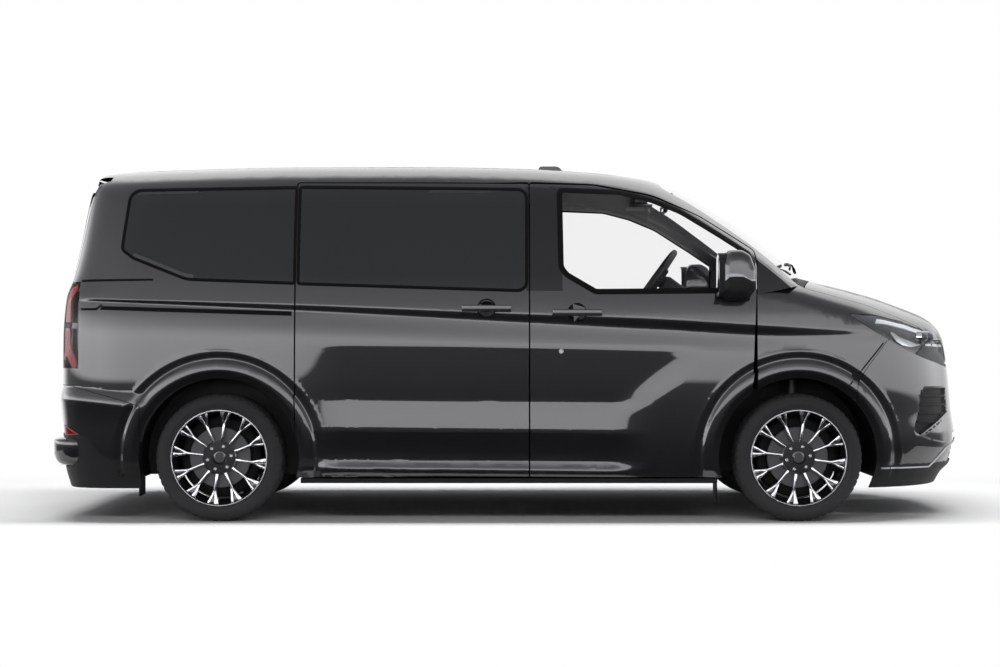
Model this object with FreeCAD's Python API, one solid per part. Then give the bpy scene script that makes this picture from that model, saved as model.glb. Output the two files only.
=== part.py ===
"""Minibus: a full-size passenger van body with hinged front doors, bonnet and tailgate, steered and rolling wheels.

Millimetres, +X forward, +Y to the left, +Z up. The origin is on the ground, midway along the length.
"""
import FreeCAD
import Part
import math
import os
from functools import lru_cache

V = FreeCAD.Vector

# Driving dimensions of the whole vehicle
half_length = 2525.0
half_width = 990.0
roof_height = 1957.0
front_axle_x = 1525.0
rear_axle_x = -1575.0
sill_z = 195.0
wall = 48.0
lower_door_wall = 105.0
front_wall = 32.0
lamp_depth = 70.0
glass_thickness = 5.0
panel_gap = 6.0
door_gap = 8.0
overrun = 400.0
seat_gap = 0.3

# Wheels and tyres
tyre_radius = 341.0
tyre_width = 235.0
rim_radius = 258.0
rim_lip = 12.0
wheel_face_y = 972.0
wheel_centre_y = wheel_face_y - tyre_width / 2
arch_radius = 425.0
flare_radius = 520.0
flare_depth = 14.0
spoke_count = 12
kingpin_y = 770.0

# Plan shape: where the straight flank ends, and how square the corners are
front_bend_x = 1400.0
rear_bend_x = -1600.0
front_corner_power = 2.7
rear_corner_power = 7.0
corner_steps = 7

# Heights and stations of the panels
belt_z = 1236.0
window_top_z = 1800.0
door_top_z = 1826.0
door_bottom_z = 236.0
shut_front_x = 1303.0
shut_middle_x = 85.0
shut_rear_x = -1166.0
roof_side_y = 715.0
roof_rear_x = -2318.0
header_x = 800.0
tailgate_half_width = 800.0
tailgate_bottom_z = 505.0
tailgate_top_z = 1872.0


def hermite(points, x):
    """A smooth curve through hand-placed points that never overshoots them."""
    if x <= points[0][0]:
        return points[0][1]
    if x >= points[-1][0]:
        return points[-1][1]
    slopes = []
    for (xa, ya), (xb, yb) in zip(points, points[1:]):
        slopes.append((yb - ya) / (xb - xa))
    tangents = [slopes[0]]
    for before, after in zip(slopes, slopes[1:]):
        if before * after <= 0:
            tangents.append(0.0)
        else:
            tangents.append(2 * before * after / (before + after))
    tangents.append(slopes[-1])
    for i, ((xa, ya), (xb, yb)) in enumerate(zip(points, points[1:])):
        if x <= xb:
            h = xb - xa
            t = (x - xa) / h
            a = (1 + 2 * t) * (1 - t) ** 2
            b = t * (1 - t) ** 2
            c = t * t * (3 - 2 * t)
            d = t * t * (t - 1)
            return a * ya + b * h * tangents[i] + c * yb + d * h * tangents[i + 1]
    return points[-1][1]


# Shares of the roof height, with the flank's half width, front reach and rear reach there
FLANK_SHARES = [(0.09, 0.955), (0.15, 0.978), (0.25, 0.994), (0.36, 1.0), (0.46, 0.996), (0.56, 0.984),
                (0.632, 0.965), (0.77, 0.915), (0.87, 0.862), (0.945, 0.803), (1.03, 0.73)]
NOSE_SHARES = [(0.09, 0.955), (0.12, 0.969), (0.145, 0.988), (0.21, 1.0), (0.3, 0.991), (0.4, 0.984), (0.48, 0.975),
               (0.55, 0.965), (0.7, 0.95), (1.03, 0.94)]
TAIL_SHARES = [(0.09, 0.965), (0.15, 0.976), (0.3, 0.98), (0.5, 0.981), (0.61, 0.976), (0.67, 0.96),
               (0.74, 0.947), (0.885, 0.928), (0.945, 0.919), (1.03, 0.905)]
LEVEL_SHARES = [0.09, 0.14, 0.2, 0.28, 0.36, 0.46, 0.56, 0.632, 0.7, 0.77, 0.87, 0.945, 1.03]
# Centre line of the roof and windscreen, then of the bonnet: shares of half length, shares of roof height
ROOF_SHARES = [(-1.04, 0.945), (-0.93, 0.972), (-0.87, 0.983), (-0.71, 0.992), (-0.48, 0.999), (-0.2, 1.0),
               (0.0, 0.9955), (0.166, 0.984), (0.26, 0.9735), (0.305, 0.965), (0.345, 0.949), (0.39, 0.924),
               (0.443, 0.886), (0.527, 0.816), (0.665, 0.671), (1.08, 0.235)]
BONNET_SHARES = [(0.5, 0.72), (0.665, 0.671), (0.693, 0.662), (0.749, 0.644), (0.804, 0.626), (0.86, 0.602),
                 (0.916, 0.5755), (0.943, 0.5575), (0.971, 0.53), (1.0, 0.49), (1.03, 0.43)]
roof_crown = 108.0
roof_crown_y = 780.0
roof_crown_power = 3.2
screen_crown = 139.0
screen_crown_y = 750.0
screen_start_x = 420.0
screen_full_x = 1150.0
bonnet_crown_shares = [(0.62, 0.82), (0.717, 0.95), (0.816, 1.06), (0.914, 1.12), (1.0, 1.15)]
bonnet_crown = 92.0
BONNET_EDGE_SHARES = [(0.62, 0.838), (0.717, 0.838), (0.816, 0.727), (0.914, 0.606), (1.0, 0.5)]
bonnet_crown_power = 2.2
bonnet_roll = 40.0
bonnet_roll_power = 9.0
bonnet_roll_z = 1120.0


def flank(z):
    return half_width * hermite(FLANK_SHARES, z / roof_height)


def nose(z):
    return half_length * hermite(NOSE_SHARES, z / roof_height)


def tail(z):
    return -half_length * hermite(TAIL_SHARES, z / roof_height)


def plan_curve(z, inset):
    """The right half of the plan outline at one height, from the nose round the flank to the tail."""
    width = flank(z) - inset
    front = nose(z) - inset
    rear = tail(z) + inset
    points = []
    for i in range(corner_steps + 1):
        a = math.pi / 2 * i / corner_steps
        c = max(math.cos(a), 0.0) ** (2 / front_corner_power)
        s = math.sin(a) ** (2 / front_corner_power)
        points.append(V(front_bend_x + (front - front_bend_x) * c, -width * s, z))
    flank_steps = 3
    for i in range(1, flank_steps):
        points.append(V(front_bend_x + (rear_bend_x - front_bend_x) * i / flank_steps, -width, z))
    for i in range(corner_steps + 1):
        a = math.pi / 2 * i / corner_steps
        c = math.sin(a) ** (2 / rear_corner_power)
        s = max(math.cos(a), 0.0) ** (2 / rear_corner_power)
        points.append(V(rear_bend_x + (rear - rear_bend_x) * c, -width * s, z))
    return points


def plan_stations():
    """How far round the plan outline each of its points lies, the same at every height."""
    half = plan_curve(belt_z, 0)
    ring = half + [V(p.x, -p.y, p.z) for p in reversed(half[1:-1])] + half[:1]
    stations = [0.0]
    for a, b in zip(ring, ring[1:]):
        stations.append(stations[-1] + (b - a).Length)
    return stations


@lru_cache(maxsize=None)
def wrap(inset):
    """The right half of the solid inside the flanks, nose and tail, lofted through plan sections."""
    wires = []
    stations = plan_stations()
    for share in LEVEL_SHARES:
        half = plan_curve(share * roof_height, inset)
        ring = half + [V(p.x, -p.y, p.z) for p in reversed(half[1:-1])]
        curve = Part.BSplineCurve()
        curve.interpolate(Points=ring, PeriodicFlag=True, Parameters=stations)
        wires.append(Part.Wire(curve.toShape()))
    whole = Part.makeLoft(wires, True)
    return whole.common(box(-half_length - overrun, half_length + overrun, -half_width - overrun, 0,
                            0, roof_height + overrun))


def blend(x, start, end):
    t = min(max((x - start) / (end - start), 0.0), 1.0)
    return t * t * (3 - 2 * t)


def roof_z(x, y):
    centre = roof_height * hermite(ROOF_SHARES, x / half_length)
    over = abs(y) / roof_crown_y
    roof_drop = roof_crown * over ** roof_crown_power
    screen_drop = screen_crown * (y / screen_crown_y) ** 2
    t = blend(x, screen_start_x, screen_full_x)
    return centre - roof_drop * (1 - t) - screen_drop * t


def plan_half_width(x, z):
    """The flank's half width at a station, round the nose and tail corners."""
    if x > front_bend_x:
        along, power = (x - front_bend_x) / (nose(z) - front_bend_x), front_corner_power
    elif x < rear_bend_x:
        along, power = (rear_bend_x - x) / (rear_bend_x - tail(z)), rear_corner_power
    else:
        return flank(z)
    return flank(z) * max(1 - along ** power, 0.0) ** (1 / power)


def bonnet_z(x, y):
    share = x / half_length
    centre = roof_height * hermite(BONNET_SHARES, share)
    edge = half_width * hermite(BONNET_EDGE_SHARES, share)
    crown = bonnet_crown * hermite(bonnet_crown_shares, share)
    drop = crown * min(abs(y) / edge, 1.6) ** bonnet_crown_power
    corner = max(plan_half_width(x, bonnet_roll_z), edge * 0.8)
    roll = bonnet_roll * min(abs(y) / corner, 1.1) ** bonnet_roll_power
    return centre - drop - roll


def below(height, stations, inset):
    """The solid under a crowned surface."""
    reach_y = half_width * 1.03
    rows = []
    cross_steps = 9
    for x in stations:
        row = []
        for j in range(cross_steps + 1):
            y = -reach_y * (1 - 1.12 * j / cross_steps)
            row.append(V(x, y, height(x, y) - inset))
        rows.append(row)
    surface = Part.BSplineSurface()
    surface.interpolate(rows)
    return surface.toShape().extrude(V(0, 0, -1.6 * roof_height))


ROOF_STATION_SHARES = [-1.05, -0.98, -0.92, -0.86, -0.75, -0.6, -0.4, -0.2, 0.0, 0.1, 0.18, 0.24, 0.28, 0.32, 0.36,
                       0.4, 0.45, 0.5, 0.56, 0.65, 0.75, 0.9, 1.05]
BONNET_STATION_SHARES = [0.4, 0.5, 0.58, 0.66, 0.72, 0.78, 0.84, 0.88, 0.92, 0.95, 0.98, 1.0, 1.02]


@lru_cache(maxsize=None)
def roof_body(inset):
    stations = [half_length * s for s in ROOF_STATION_SHARES]
    return wrap(inset).common(below(roof_z, stations, inset))


@lru_cache(maxsize=None)
def bonnet_body(inset):
    stations = [half_length * s for s in BONNET_STATION_SHARES]
    return wrap(inset).common(below(bonnet_z, stations, inset))


def outline(points, place):
    """A closed wire through corners (u, v, radius), each corner rounded by its radius."""
    edges = []
    ends = []
    count = len(points)
    for i in range(count):
        u, v = points[i][0], points[i][1]
        r = points[i][2] if len(points[i]) > 2 else 0.0
        before = FreeCAD.Vector(points[i - 1][0], points[i - 1][1], 0)
        after = FreeCAD.Vector(points[(i + 1) % count][0], points[(i + 1) % count][1], 0)
        here = FreeCAD.Vector(u, v, 0)
        if r <= 0:
            ends.append((here, here, None))
            continue
        a = (before - here).normalize()
        b = (after - here).normalize()
        half = a.getAngle(b) / 2
        reach = r / math.tan(half)
        bisector = (a + b).normalize()
        middle = here + bisector * (r / math.sin(half) - r)
        ends.append((here + a * reach, here + b * reach, middle))
    for i in range(count):
        start, stop, middle = ends[i]
        if middle is not None:
            edges.append(Part.Arc(place(start.x, start.y), place(middle.x, middle.y),
                                  place(stop.x, stop.y)).toShape())
        following = ends[(i + 1) % count][0]
        if (following - stop).Length > 1e-6:
            edges.append(Part.makeLine(place(stop.x, stop.y), place(following.x, following.y)))
    return Part.Wire(edges)


def prism_y(points, y0, y1):
    wire = outline(points, lambda u, v: V(u, y0, v))
    return Part.Face(wire).extrude(V(0, y1 - y0, 0))


def prism_x(points, x0, x1):
    wire = outline(points, lambda u, v: V(x0, u, v))
    return Part.Face(wire).extrude(V(x1 - x0, 0, 0))


def prism_z(points, z0, z1):
    wire = outline(points, lambda u, v: V(u, v, z0))
    return Part.Face(wire).extrude(V(0, 0, z1 - z0))


def box(x0, x1, y0, y1, z0, z1):
    return Part.makeBox(x1 - x0, y1 - y0, z1 - z0, V(x0, y0, z0))


def tube_y(radius, x, z, y0, y1):
    return Part.makeCylinder(radius, y1 - y0, V(x, y0, z), V(0, 1, 0))


def mirrored(shape):
    return shape.mirror(V(0, 0, 0), V(0, 1, 0))


def grown_prism_y(points, gap, y0, y1):
    wire = outline(points, lambda u, v: V(u, y0, v))
    return Part.Face(wire).makeOffset2D(gap, 2).extrude(V(0, y1 - y0, 0))


def grown_prism_x(points, gap, x0, x1):
    wire = outline(points, lambda u, v: V(x0, u, v))
    return Part.Face(wire).makeOffset2D(gap, 2).extrude(V(x1 - x0, 0, 0))


def grown_prism_z(points, gap, z0, z1):
    wire = outline(points, lambda u, v: V(u, v, z0))
    return Part.Face(wire).makeOffset2D(gap, 2).extrude(V(0, 0, z1 - z0))


def side_points(shares):
    """Corners seen from the side: x of the half length, z of the roof height, radius of the half width."""
    return [(half_length * x, roof_height * z, half_width * r) for x, z, r in shares]


def end_points(shares):
    """Corners seen from an end: y and radius of the half width, z of the roof height."""
    return [(half_width * y, roof_height * z, half_width * r) for y, z, r in shares]


def plan_points(shares):
    """Corners seen from above: x of the half length, y and radius of the half width."""
    return [(half_length * x, half_width * y, half_width * r) for x, y, r in shares]


def fused(shapes):
    whole = shapes[0].fuse(shapes[1:]) if len(shapes) > 1 else shapes[0]
    return whole.removeSplitter()


def both(shape):
    return Part.makeCompound([shape, mirrored(shape)])


# Panel outlines in the side view, as shares (see side_points)
FRONT_WINDOW_SHARES = [(0.0994, 0.910, 0.02), (0.228, 0.9034, 0.18), (0.292, 0.8825, 0.3), (0.3564, 0.849, 0.3),
                       (0.4420, 0.7803, 0.06), (0.4990, 0.7320, 0.012), (0.4990, 0.6335, 0.02),
                       (0.1743, 0.6300, 0.04), (0.1145, 0.6755, 0.06), (0.1018, 0.6950, 0.06)]
SLIDING_WINDOW_SHARES = [(-0.4556, 0.9182, 0.008), (0.0260, 0.9115, 0.045), (0.0260, 0.6331, 0.045),
                         (-0.4556, 0.6525, 0.008)]
QUARTER_WINDOW_SHARES = [(-0.8180, 0.9083, 0.06), (-0.4665, 0.9167, 0.008), (-0.4665, 0.6538, 0.008),
                         (-0.6937, 0.6648, 0.2), (-0.8074, 0.7230, 0.06), (-0.8310, 0.7451, 0.03),
                         (-0.8290, 0.7726, 0.2)]
FRONT_DOOR_CROWN_SHARES = [(0.5145, 0.7440, 0.03), (0.4871, 0.7665, 0.3), (0.4012, 0.8360, 0.4),
                           (0.2939, 0.8970, 0.5), (0.1703, 0.9270, 0.6)]
FASCIA_SHARES = [(0.7279, 0.05, 0.0), (0.7279, 0.3715, 0.0), (0.7469, 0.4129, 0.1), (0.7972, 0.4952, 0.0),
                 (1.06, 0.4952, 0.0), (1.06, 0.05, 0.0)]
HEADLAMP_SHARES = [(0.7040, 0.5750, 0.01), (0.7651, 0.5651, 0.2), (0.8360, 0.5488, 0.3), (0.8966, 0.5212, 0.3),
                   (0.9533, 0.4926, 0.2), (1.04, 0.4890, 0.0), (1.04, 0.4100, 0.0), (0.9533, 0.4211, 0.0),
                   (0.8840, 0.4481, 0.3), (0.8360, 0.4737, 0.3), (0.7651, 0.5238, 0.3)]
SAIL_SHARES = [(0.5184, 0.6199, 0.0), (0.5184, 0.7180, 0.0), (0.5782, 0.6592, 0.03), (0.6080, 0.6455, 0.0)]
RAIL_SLOT_SHARES = [(-0.8730, 0.5890, 0.0), (-0.4699, 0.5744, 0.0), (-0.4699, 0.5626, 0.0), (-0.8770, 0.5790, 0.0)]
WING_LINE_SHARES = [(0.5152, 0.05, 0.0), (0.5152, 0.6199, 0.0), (0.6200, 0.6485, 0.0), (0.6900, 0.6660, 0.0),
                    (1.1, 0.72, 0.0), (1.1, 0.05, 0.0)]
REAR_FASCIA_SHARES = [(-0.7900, 0.05, 0.0), (-0.7900, 0.3150, 0.0), (-0.8250, 0.3290, 0.1), (-0.9400, 0.3700, 0.1),
                      (-1.1, 0.3800, 0.0), (-1.1, 0.05, 0.0)]
REAR_STEP_SHARES = [(-0.9500, 0.1460, 0.0), (-0.9730, 0.1490, 0.02), (-1.0, 0.2120, 0.02), (-1.0, 0.2233, 0.008),
                    (-0.9500, 0.2260, 0.0)]
REAR_STEP_PLAN_SHARES = [(-1.0, 0.0, 0.0), (-1.0, -0.8200, 0.12), (-0.9650, -0.9400, 0.05), (-0.9, -0.9600, 0.0),
                         (-0.9, 0.0, 0.0)]
# Panel outlines in the end view
TAILGATE_SHARES = [(-0.800, 0.2580, 0.06), (-0.808, 0.6600, 0.3), (-0.735, 0.9500, 0.08), (0.735, 0.9500, 0.08),
                   (0.808, 0.6600, 0.3), (0.800, 0.2580, 0.06)]
REAR_WINDOW_SHARES = [(-0.700, 0.6560, 0.08), (-0.650, 0.9060, 0.08), (0.650, 0.9060, 0.08), (0.700, 0.6560, 0.08)]
GRILLE_SHARES = [(-0.390, 0.3150, 0.05), (-0.444, 0.4300, 0.05), (-0.400, 0.4780, 0.05), (0.400, 0.4780, 0.05),
                 (0.444, 0.4300, 0.05), (0.390, 0.3150, 0.05)]
INTAKE_SHARES = [(-0.560, 0.1500, 0.04), (-0.500, 0.2350, 0.04), (0.500, 0.2350, 0.04), (0.560, 0.1500, 0.04)]
# Panel outlines in the plan view
SCREEN_SHARES = [(0.327, -0.600, 0.09), (0.318, 0.0, 4.0), (0.327, 0.600, 0.09), (0.445, 0.690, 0.4),
                 (0.610, 0.810, 0.05), (0.69, 0.6, 0.0), (0.69, -0.6, 0.0), (0.610, -0.810, 0.05),
                 (0.445, -0.690, 0.4)]
BONNET_PLAN_SHARES = [(0.6238, -0.838, 0.02), (0.7172, -0.812, 0.5), (0.8158, -0.727, 0.5), (0.9137, -0.606, 0.3),
                      (0.9533, -0.505, 0.02), (1.05, -0.42, 0.0), (1.05, 0.42, 0.0), (0.9533, 0.505, 0.02),
                      (0.9137, 0.606, 0.3), (0.8158, 0.727, 0.5), (0.7172, 0.812, 0.5), (0.6238, 0.838, 0.02),
                      (0.7000, 0.0, 2.3)]
COWL_SHARES = [(0.6120, -0.800, 0.0), (0.6238, -0.8380, 0.0), (0.7000, 0.0, 2.3), (0.6238, 0.8380, 0.0),
               (0.6120, 0.800, 0.0), (0.6550, 0.0, 3.0)]

# Widths and depths of the structure
tight_r = 12.0
frame_depth = 110.0
door_inner_y = 715.0
flank_outer_y = 1100.0
rear_face_x = -2200.0
floor_top_z = 520.0
floor_thickness = 40.0
floor_half_width = 862.0
floor_front_x = 1330.0
floor_rear_x = -2330.0
sill_inner_y = 742.0
sill_bottom_z = 205.0
liner_wall = 10.0
liner_bottom_z = 235.0
front_liner_y = 500.0
rear_liner_y = 690.0
bulkhead_x = 1400.0
bulkhead_thickness = 30.0
bulkhead_top_z = 1240.0
post_width = 90.0
lamp_inner_y = 445.0
rear_lamp_x = -2333.0
rear_lamp_bottom_z = 819.0
rear_lamp_top_z = 1285.0
bonnet_front_z = 972.0
bar_count = 6
rib_count = 9
bar_height = 16.0
rib_width = 12.0
rib_pitch = 95.0
roof_front_x = 850.0
bond_width = 22.0
bonnet_wall = 16.0
bonnet_hinge_x = 1500.0
bonnet_hinge_z = 1262.0
hinge_arm_y = 640.0
hinge_arm_width = 24.0
hinge_pin_radius = 6.0
hinge_eye_radius = 14.0
hinge_cheek = 12.0
neck_radius = 158.0
neck_width = 18.0
neck_arc = 62.0
running_gap = 0.3
bar_front_x = 350.0
bar_rear_x = -1750.0
bar_hole_y = 620.0
bar_hole_radius = 4.0
rail_depth = 12.0
handle_length = 265.0
handle_height = 35.0
handle_rise = 34.0
handle_thickness = 15.0
handle_foot = 36.0
handle_round = 6.0
bowl_radius = 52.0
bowl_depth = 12.0
sliding_handle_x = -145.0
sliding_handle_z = 1141.0
front_handle_x = 339.0
front_handle_z = 1118.0
grille_inset = 14.0
grille_depth = 26.0


def make_outer():
    """The right half of the whole outside with its wheel-arch flares: upper part, then front part."""
    flare_y = half_width + flare_depth
    swollen = wrap(-flare_depth)
    upper = roof_body(0)
    lower = bonnet_body(0)
    for axle_x in (rear_axle_x, front_axle_x):
        cone = Part.makeCone(flare_radius + flare_depth * 2, flare_radius - flare_depth, flare_depth * 4,
                             V(axle_x, flare_depth * 3 - flare_y, tyre_radius), V(0, -1, 0))
        flare = swollen.common(cone)
        flare = flare.cut(box(axle_x - flare_radius * 2, axle_x + flare_radius * 2, -flare_y * 2, 0,
                              0, door_bottom_z))
        upper = upper.fuse(flare)
        if axle_x > 0:
            lower = lower.fuse(flare)
    return upper, lower


def arch(axle_x, inner_y, radius=arch_radius):
    return tube_y(radius, axle_x, tyre_radius, -flank_outer_y, -inner_y)


def front_door_points():
    crown = side_points(FRONT_DOOR_CROWN_SHARES)
    rear = shut_middle_x + door_gap / 2
    front = shut_front_x - door_gap / 2
    return [(rear, door_bottom_z, tight_r), (front - 3 * door_gap, door_bottom_z, tight_r),
            (front - 3 * door_gap, flare_radius + tyre_radius / 2, half_width * 0.3),
            (front, belt_z, half_width * 0.2)] + crown + [(rear, door_top_z, tight_r)]


def sliding_door_points():
    front = shut_middle_x - door_gap / 2
    return [(shut_rear_x, door_bottom_z, tight_r), (front, door_bottom_z, tight_r), (front, door_top_z, tight_r),
            (shut_rear_x, door_top_z, tight_r)]


def largest(shape):
    return sorted(shape.Solids, key=lambda solid: solid.Volume)[-1]


def cut_all(shape, tools):
    for tool in tools:
        shape = shape.cut(tool)
    return largest(shape)


def whole(half):
    """A centre panel from its right half."""
    return largest(half.fuse(mirrored(half)))


def make_panels():
    """Every painted panel and pane, cut from the one outside shape along the real shut lines."""
    nodes = {}
    right = -flank_outer_y
    tail_end = -half_length - overrun
    nose_end = half_length + overrun
    sky = roof_height + overrun
    upper, lower = make_outer()
    upper_wall = roof_body(wall)
    upper_door = roof_body(lower_door_wall)
    plain = roof_body(0)
    shell = upper.cut(upper_wall)
    pane = plain.cut(roof_body(glass_thickness))
    nose_shell = lower.cut(bonnet_body(front_wall))

    # Outlines as tools
    front_door = front_door_points()
    sliding_door = sliding_door_points()
    front_hole = grown_prism_y(front_door, door_gap, right, -door_inner_y)
    sliding_hole = grown_prism_y(sliding_door, door_gap, right, -door_inner_y)
    windows = {}
    glasses = {}
    for name, shares, rebate in (("front", FRONT_WINDOW_SHARES, 0), ("sliding", SLIDING_WINDOW_SHARES, bond_width),
                                 ("quarter", QUARTER_WINDOW_SHARES, bond_width)):
        glasses[name] = largest(pane.common(prism_y(side_points(shares), right, -door_inner_y)))
        windows[name] = [grown_prism_y(side_points(shares), -rebate, right, -door_inner_y)] if rebate else [
            prism_y(side_points(shares), right, -door_inner_y)]
        if rebate:
            windows[name].append(glasses[name])
    screen = prism_z(plan_points(SCREEN_SHARES), belt_z - frame_depth, roof_height)
    tailgate = prism_x(end_points(TAILGATE_SHARES), tail_end, rear_face_x)
    tailgate_hole = grown_prism_x(end_points(TAILGATE_SHARES), panel_gap, tail_end, rear_face_x)
    rear_glass = largest(pane.common(prism_x(end_points(REAR_WINDOW_SHARES), tail_end, rear_face_x)))
    rear_window = grown_prism_x(end_points(REAR_WINDOW_SHARES), -bond_width, tail_end, rear_face_x)
    bonnet = prism_z(plan_points(BONNET_PLAN_SHARES), bonnet_front_z, roof_height)
    bonnet_hole = grown_prism_z(plan_points(BONNET_PLAN_SHARES), panel_gap, bonnet_front_z - panel_gap,
                                roof_height)
    wing_side = prism_y(side_points(WING_LINE_SHARES), right, 0)
    cowl = prism_z(plan_points(COWL_SHARES), belt_z - frame_depth, roof_height)
    cowl_gap = grown_prism_z(plan_points(COWL_SHARES), panel_gap / 4, belt_z - frame_depth, roof_height)
    roof_box = box(roof_rear_x, roof_front_x, -roof_side_y, 0, door_inner_y * 2, sky)
    rear_fascia = prism_y(side_points(REAR_FASCIA_SHARES), right, 0)
    rear_fascia_hole = grown_prism_y(side_points(REAR_FASCIA_SHARES), panel_gap / 2, right, 0)
    fascia = prism_y(side_points(FASCIA_SHARES), right, 0)
    fascia_hole = grown_prism_y(side_points(FASCIA_SHARES), panel_gap / 2, right, 0)
    lamp = prism_y(side_points(HEADLAMP_SHARES), right, -lamp_inner_y)
    lamp_gap = grown_prism_y(side_points(HEADLAMP_SHARES), panel_gap / 2, right, -lamp_inner_y + panel_gap / 2)
    lamp_gap = lamp_gap.cut(bonnet_body(front_wall / 2))
    rear_lamp = box(tail_end, rear_lamp_x, right, -tailgate_half_width - panel_gap * 2, rear_lamp_bottom_z,
                    rear_lamp_top_z)
    rear_arch = arch(rear_axle_x, rear_liner_y)
    front_arch = arch(front_axle_x, front_liner_y)
    under_doors = box(rear_axle_x, half_length, right, 0, 0, door_bottom_z - panel_gap)

    # Roof and body sides
    roof = cut_all(shell.common(roof_box), [tailgate_hole, screen])
    for x in (bar_front_x, bar_rear_x):
        roof = roof.cut(Part.makeCylinder(bar_hole_radius, roof_height, V(x, -bar_hole_y, door_inner_y)))
    nodes["roof_panel"] = whole(roof)
    half_side = shell.common(box(tail_end, nose_end, right, 0, door_bottom_z - panel_gap, sky)).cut(wing_side)
    sail = prism_y(side_points(SAIL_SHARES), right, -door_inner_y)
    side = cut_all(half_side, [roof_box, under_doors, rear_fascia_hole, rear_arch, sliding_hole, front_hole,
                               *windows["quarter"], screen, tailgate_hole, rear_lamp, sail, cowl_gap])
    rail = prism_y(side_points(RAIL_SLOT_SHARES), right, -floor_half_width).cut(roof_body(rail_depth))
    side = side.cut(rail)
    nodes["body_side_right"] = side
    nodes["body_side_left"] = mirrored(side)
    nodes["sail_panels"] = both(largest(half_side.common(sail)))
    nodes["windscreen"] = whole(pane.common(screen).cut(lower))

    # Doors: thin round the window, deep below it
    upper_half = upper_wall.common(box(rear_axle_x, half_length, right, 0, belt_z - frame_depth / 2, sky))
    for name, points, handle_x, handle_z in (("front", front_door, front_handle_x, front_handle_z),
                                             ("sliding", sliding_door, sliding_handle_x, sliding_handle_z)):
        block = upper.common(prism_y(points, right, -door_inner_y))
        door = cut_all(block, [upper_door, upper_half, *windows[name],
                               front_arch if name == "front" else rear_arch])
        door = add_handle(door, handle_x, handle_z)
        nodes[name + "_door_right"] = door
        nodes[name + "_door_left"] = mirrored(door)
    nodes["front_door_glass_right"] = glasses["front"]
    nodes["front_door_glass_left"] = mirrored(glasses["front"])
    fixed = Part.makeCompound([glasses["quarter"], glasses["sliding"]])
    nodes["side_windows"] = Part.makeCompound(fixed.Solids + mirrored(fixed).Solids)

    # Tailgate, rear bumper and lamps
    gate = cut_all(shell.common(tailgate), [rear_window, rear_glass, roof_box])
    nodes["tailgate"] = whole(gate)
    nodes["tailgate_glass"] = whole(rear_glass)
    step = prism_y(side_points(REAR_STEP_SHARES), right, 0).common(
        prism_z(plan_points(REAR_STEP_PLAN_SHARES), 0, belt_z)).cut(upper_wall)
    bumper = cut_all(shell.common(rear_fascia), [tailgate_hole, rear_arch])
    nodes["rear_bumper"] = whole(bumper.fuse(step))
    nodes["tail_lamps"] = both(largest(upper.common(rear_lamp).cut(roof_body(lamp_depth))))

    # Wings, bonnet, front bumper, grille and headlamps
    front_region = box(shut_front_x, nose_end, right, 0, door_bottom_z, sky)
    wing = cut_all(nose_shell.common(front_region).common(wing_side), [fascia_hole, front_arch, bonnet_hole,
                                                                      lamp_gap, lamp, cowl])
    nodes["wing_right"] = wing
    nodes["wing_left"] = mirrored(wing)
    skin = lower.cut(bonnet_body(bonnet_wall)).common(bonnet)
    nodes["bonnet"] = largest(fused([whole(skin), *make_goosenecks()]))
    grille_hole = prism_x(end_points(GRILLE_SHARES), front_axle_x, nose_end)
    intake_hole = prism_x(end_points(INTAKE_SHARES), front_axle_x, nose_end)
    nodes["front_bumper"] = whole(cut_all(nose_shell.common(fascia), [front_arch, lamp_gap, lamp, grille_hole,
                                                                      intake_hole]))
    nodes["headlamps"] = both(cut_all(lower.common(lamp), [bonnet_body(lamp_depth), bonnet_hole]))
    nodes["grille"] = make_grille(grille_hole, intake_hole)
    nodes["cowl_panel"] = whole(nose_shell.common(cowl).cut(bonnet_hole))
    return nodes


def add_handle(door, x, z):
    """A door with its grip: a bar on two feet, over a bowl for the fingers."""
    skin_y = -flank(z)
    bowl = tube_y(bowl_radius, x, z, skin_y - handle_rise, skin_y + bowl_depth)
    bar = box(x - handle_length / 2, x + handle_length / 2, skin_y - handle_rise,
              skin_y - handle_rise + handle_thickness, z - handle_height / 2, z + handle_height / 2)
    pieces = [door.cut(bowl), bar.makeFillet(handle_round, bar.Edges)]
    for side in (-1, 1):
        foot_x = x + side * (handle_length - handle_foot * 1.5) / 2
        pieces.append(box(foot_x - handle_foot / 2, foot_x + handle_foot / 2, skin_y - handle_rise + handle_round,
                          skin_y + handle_foot / 2, z - handle_height * 0.4, z + handle_height * 0.4))
    return largest(fused(pieces))


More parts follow.
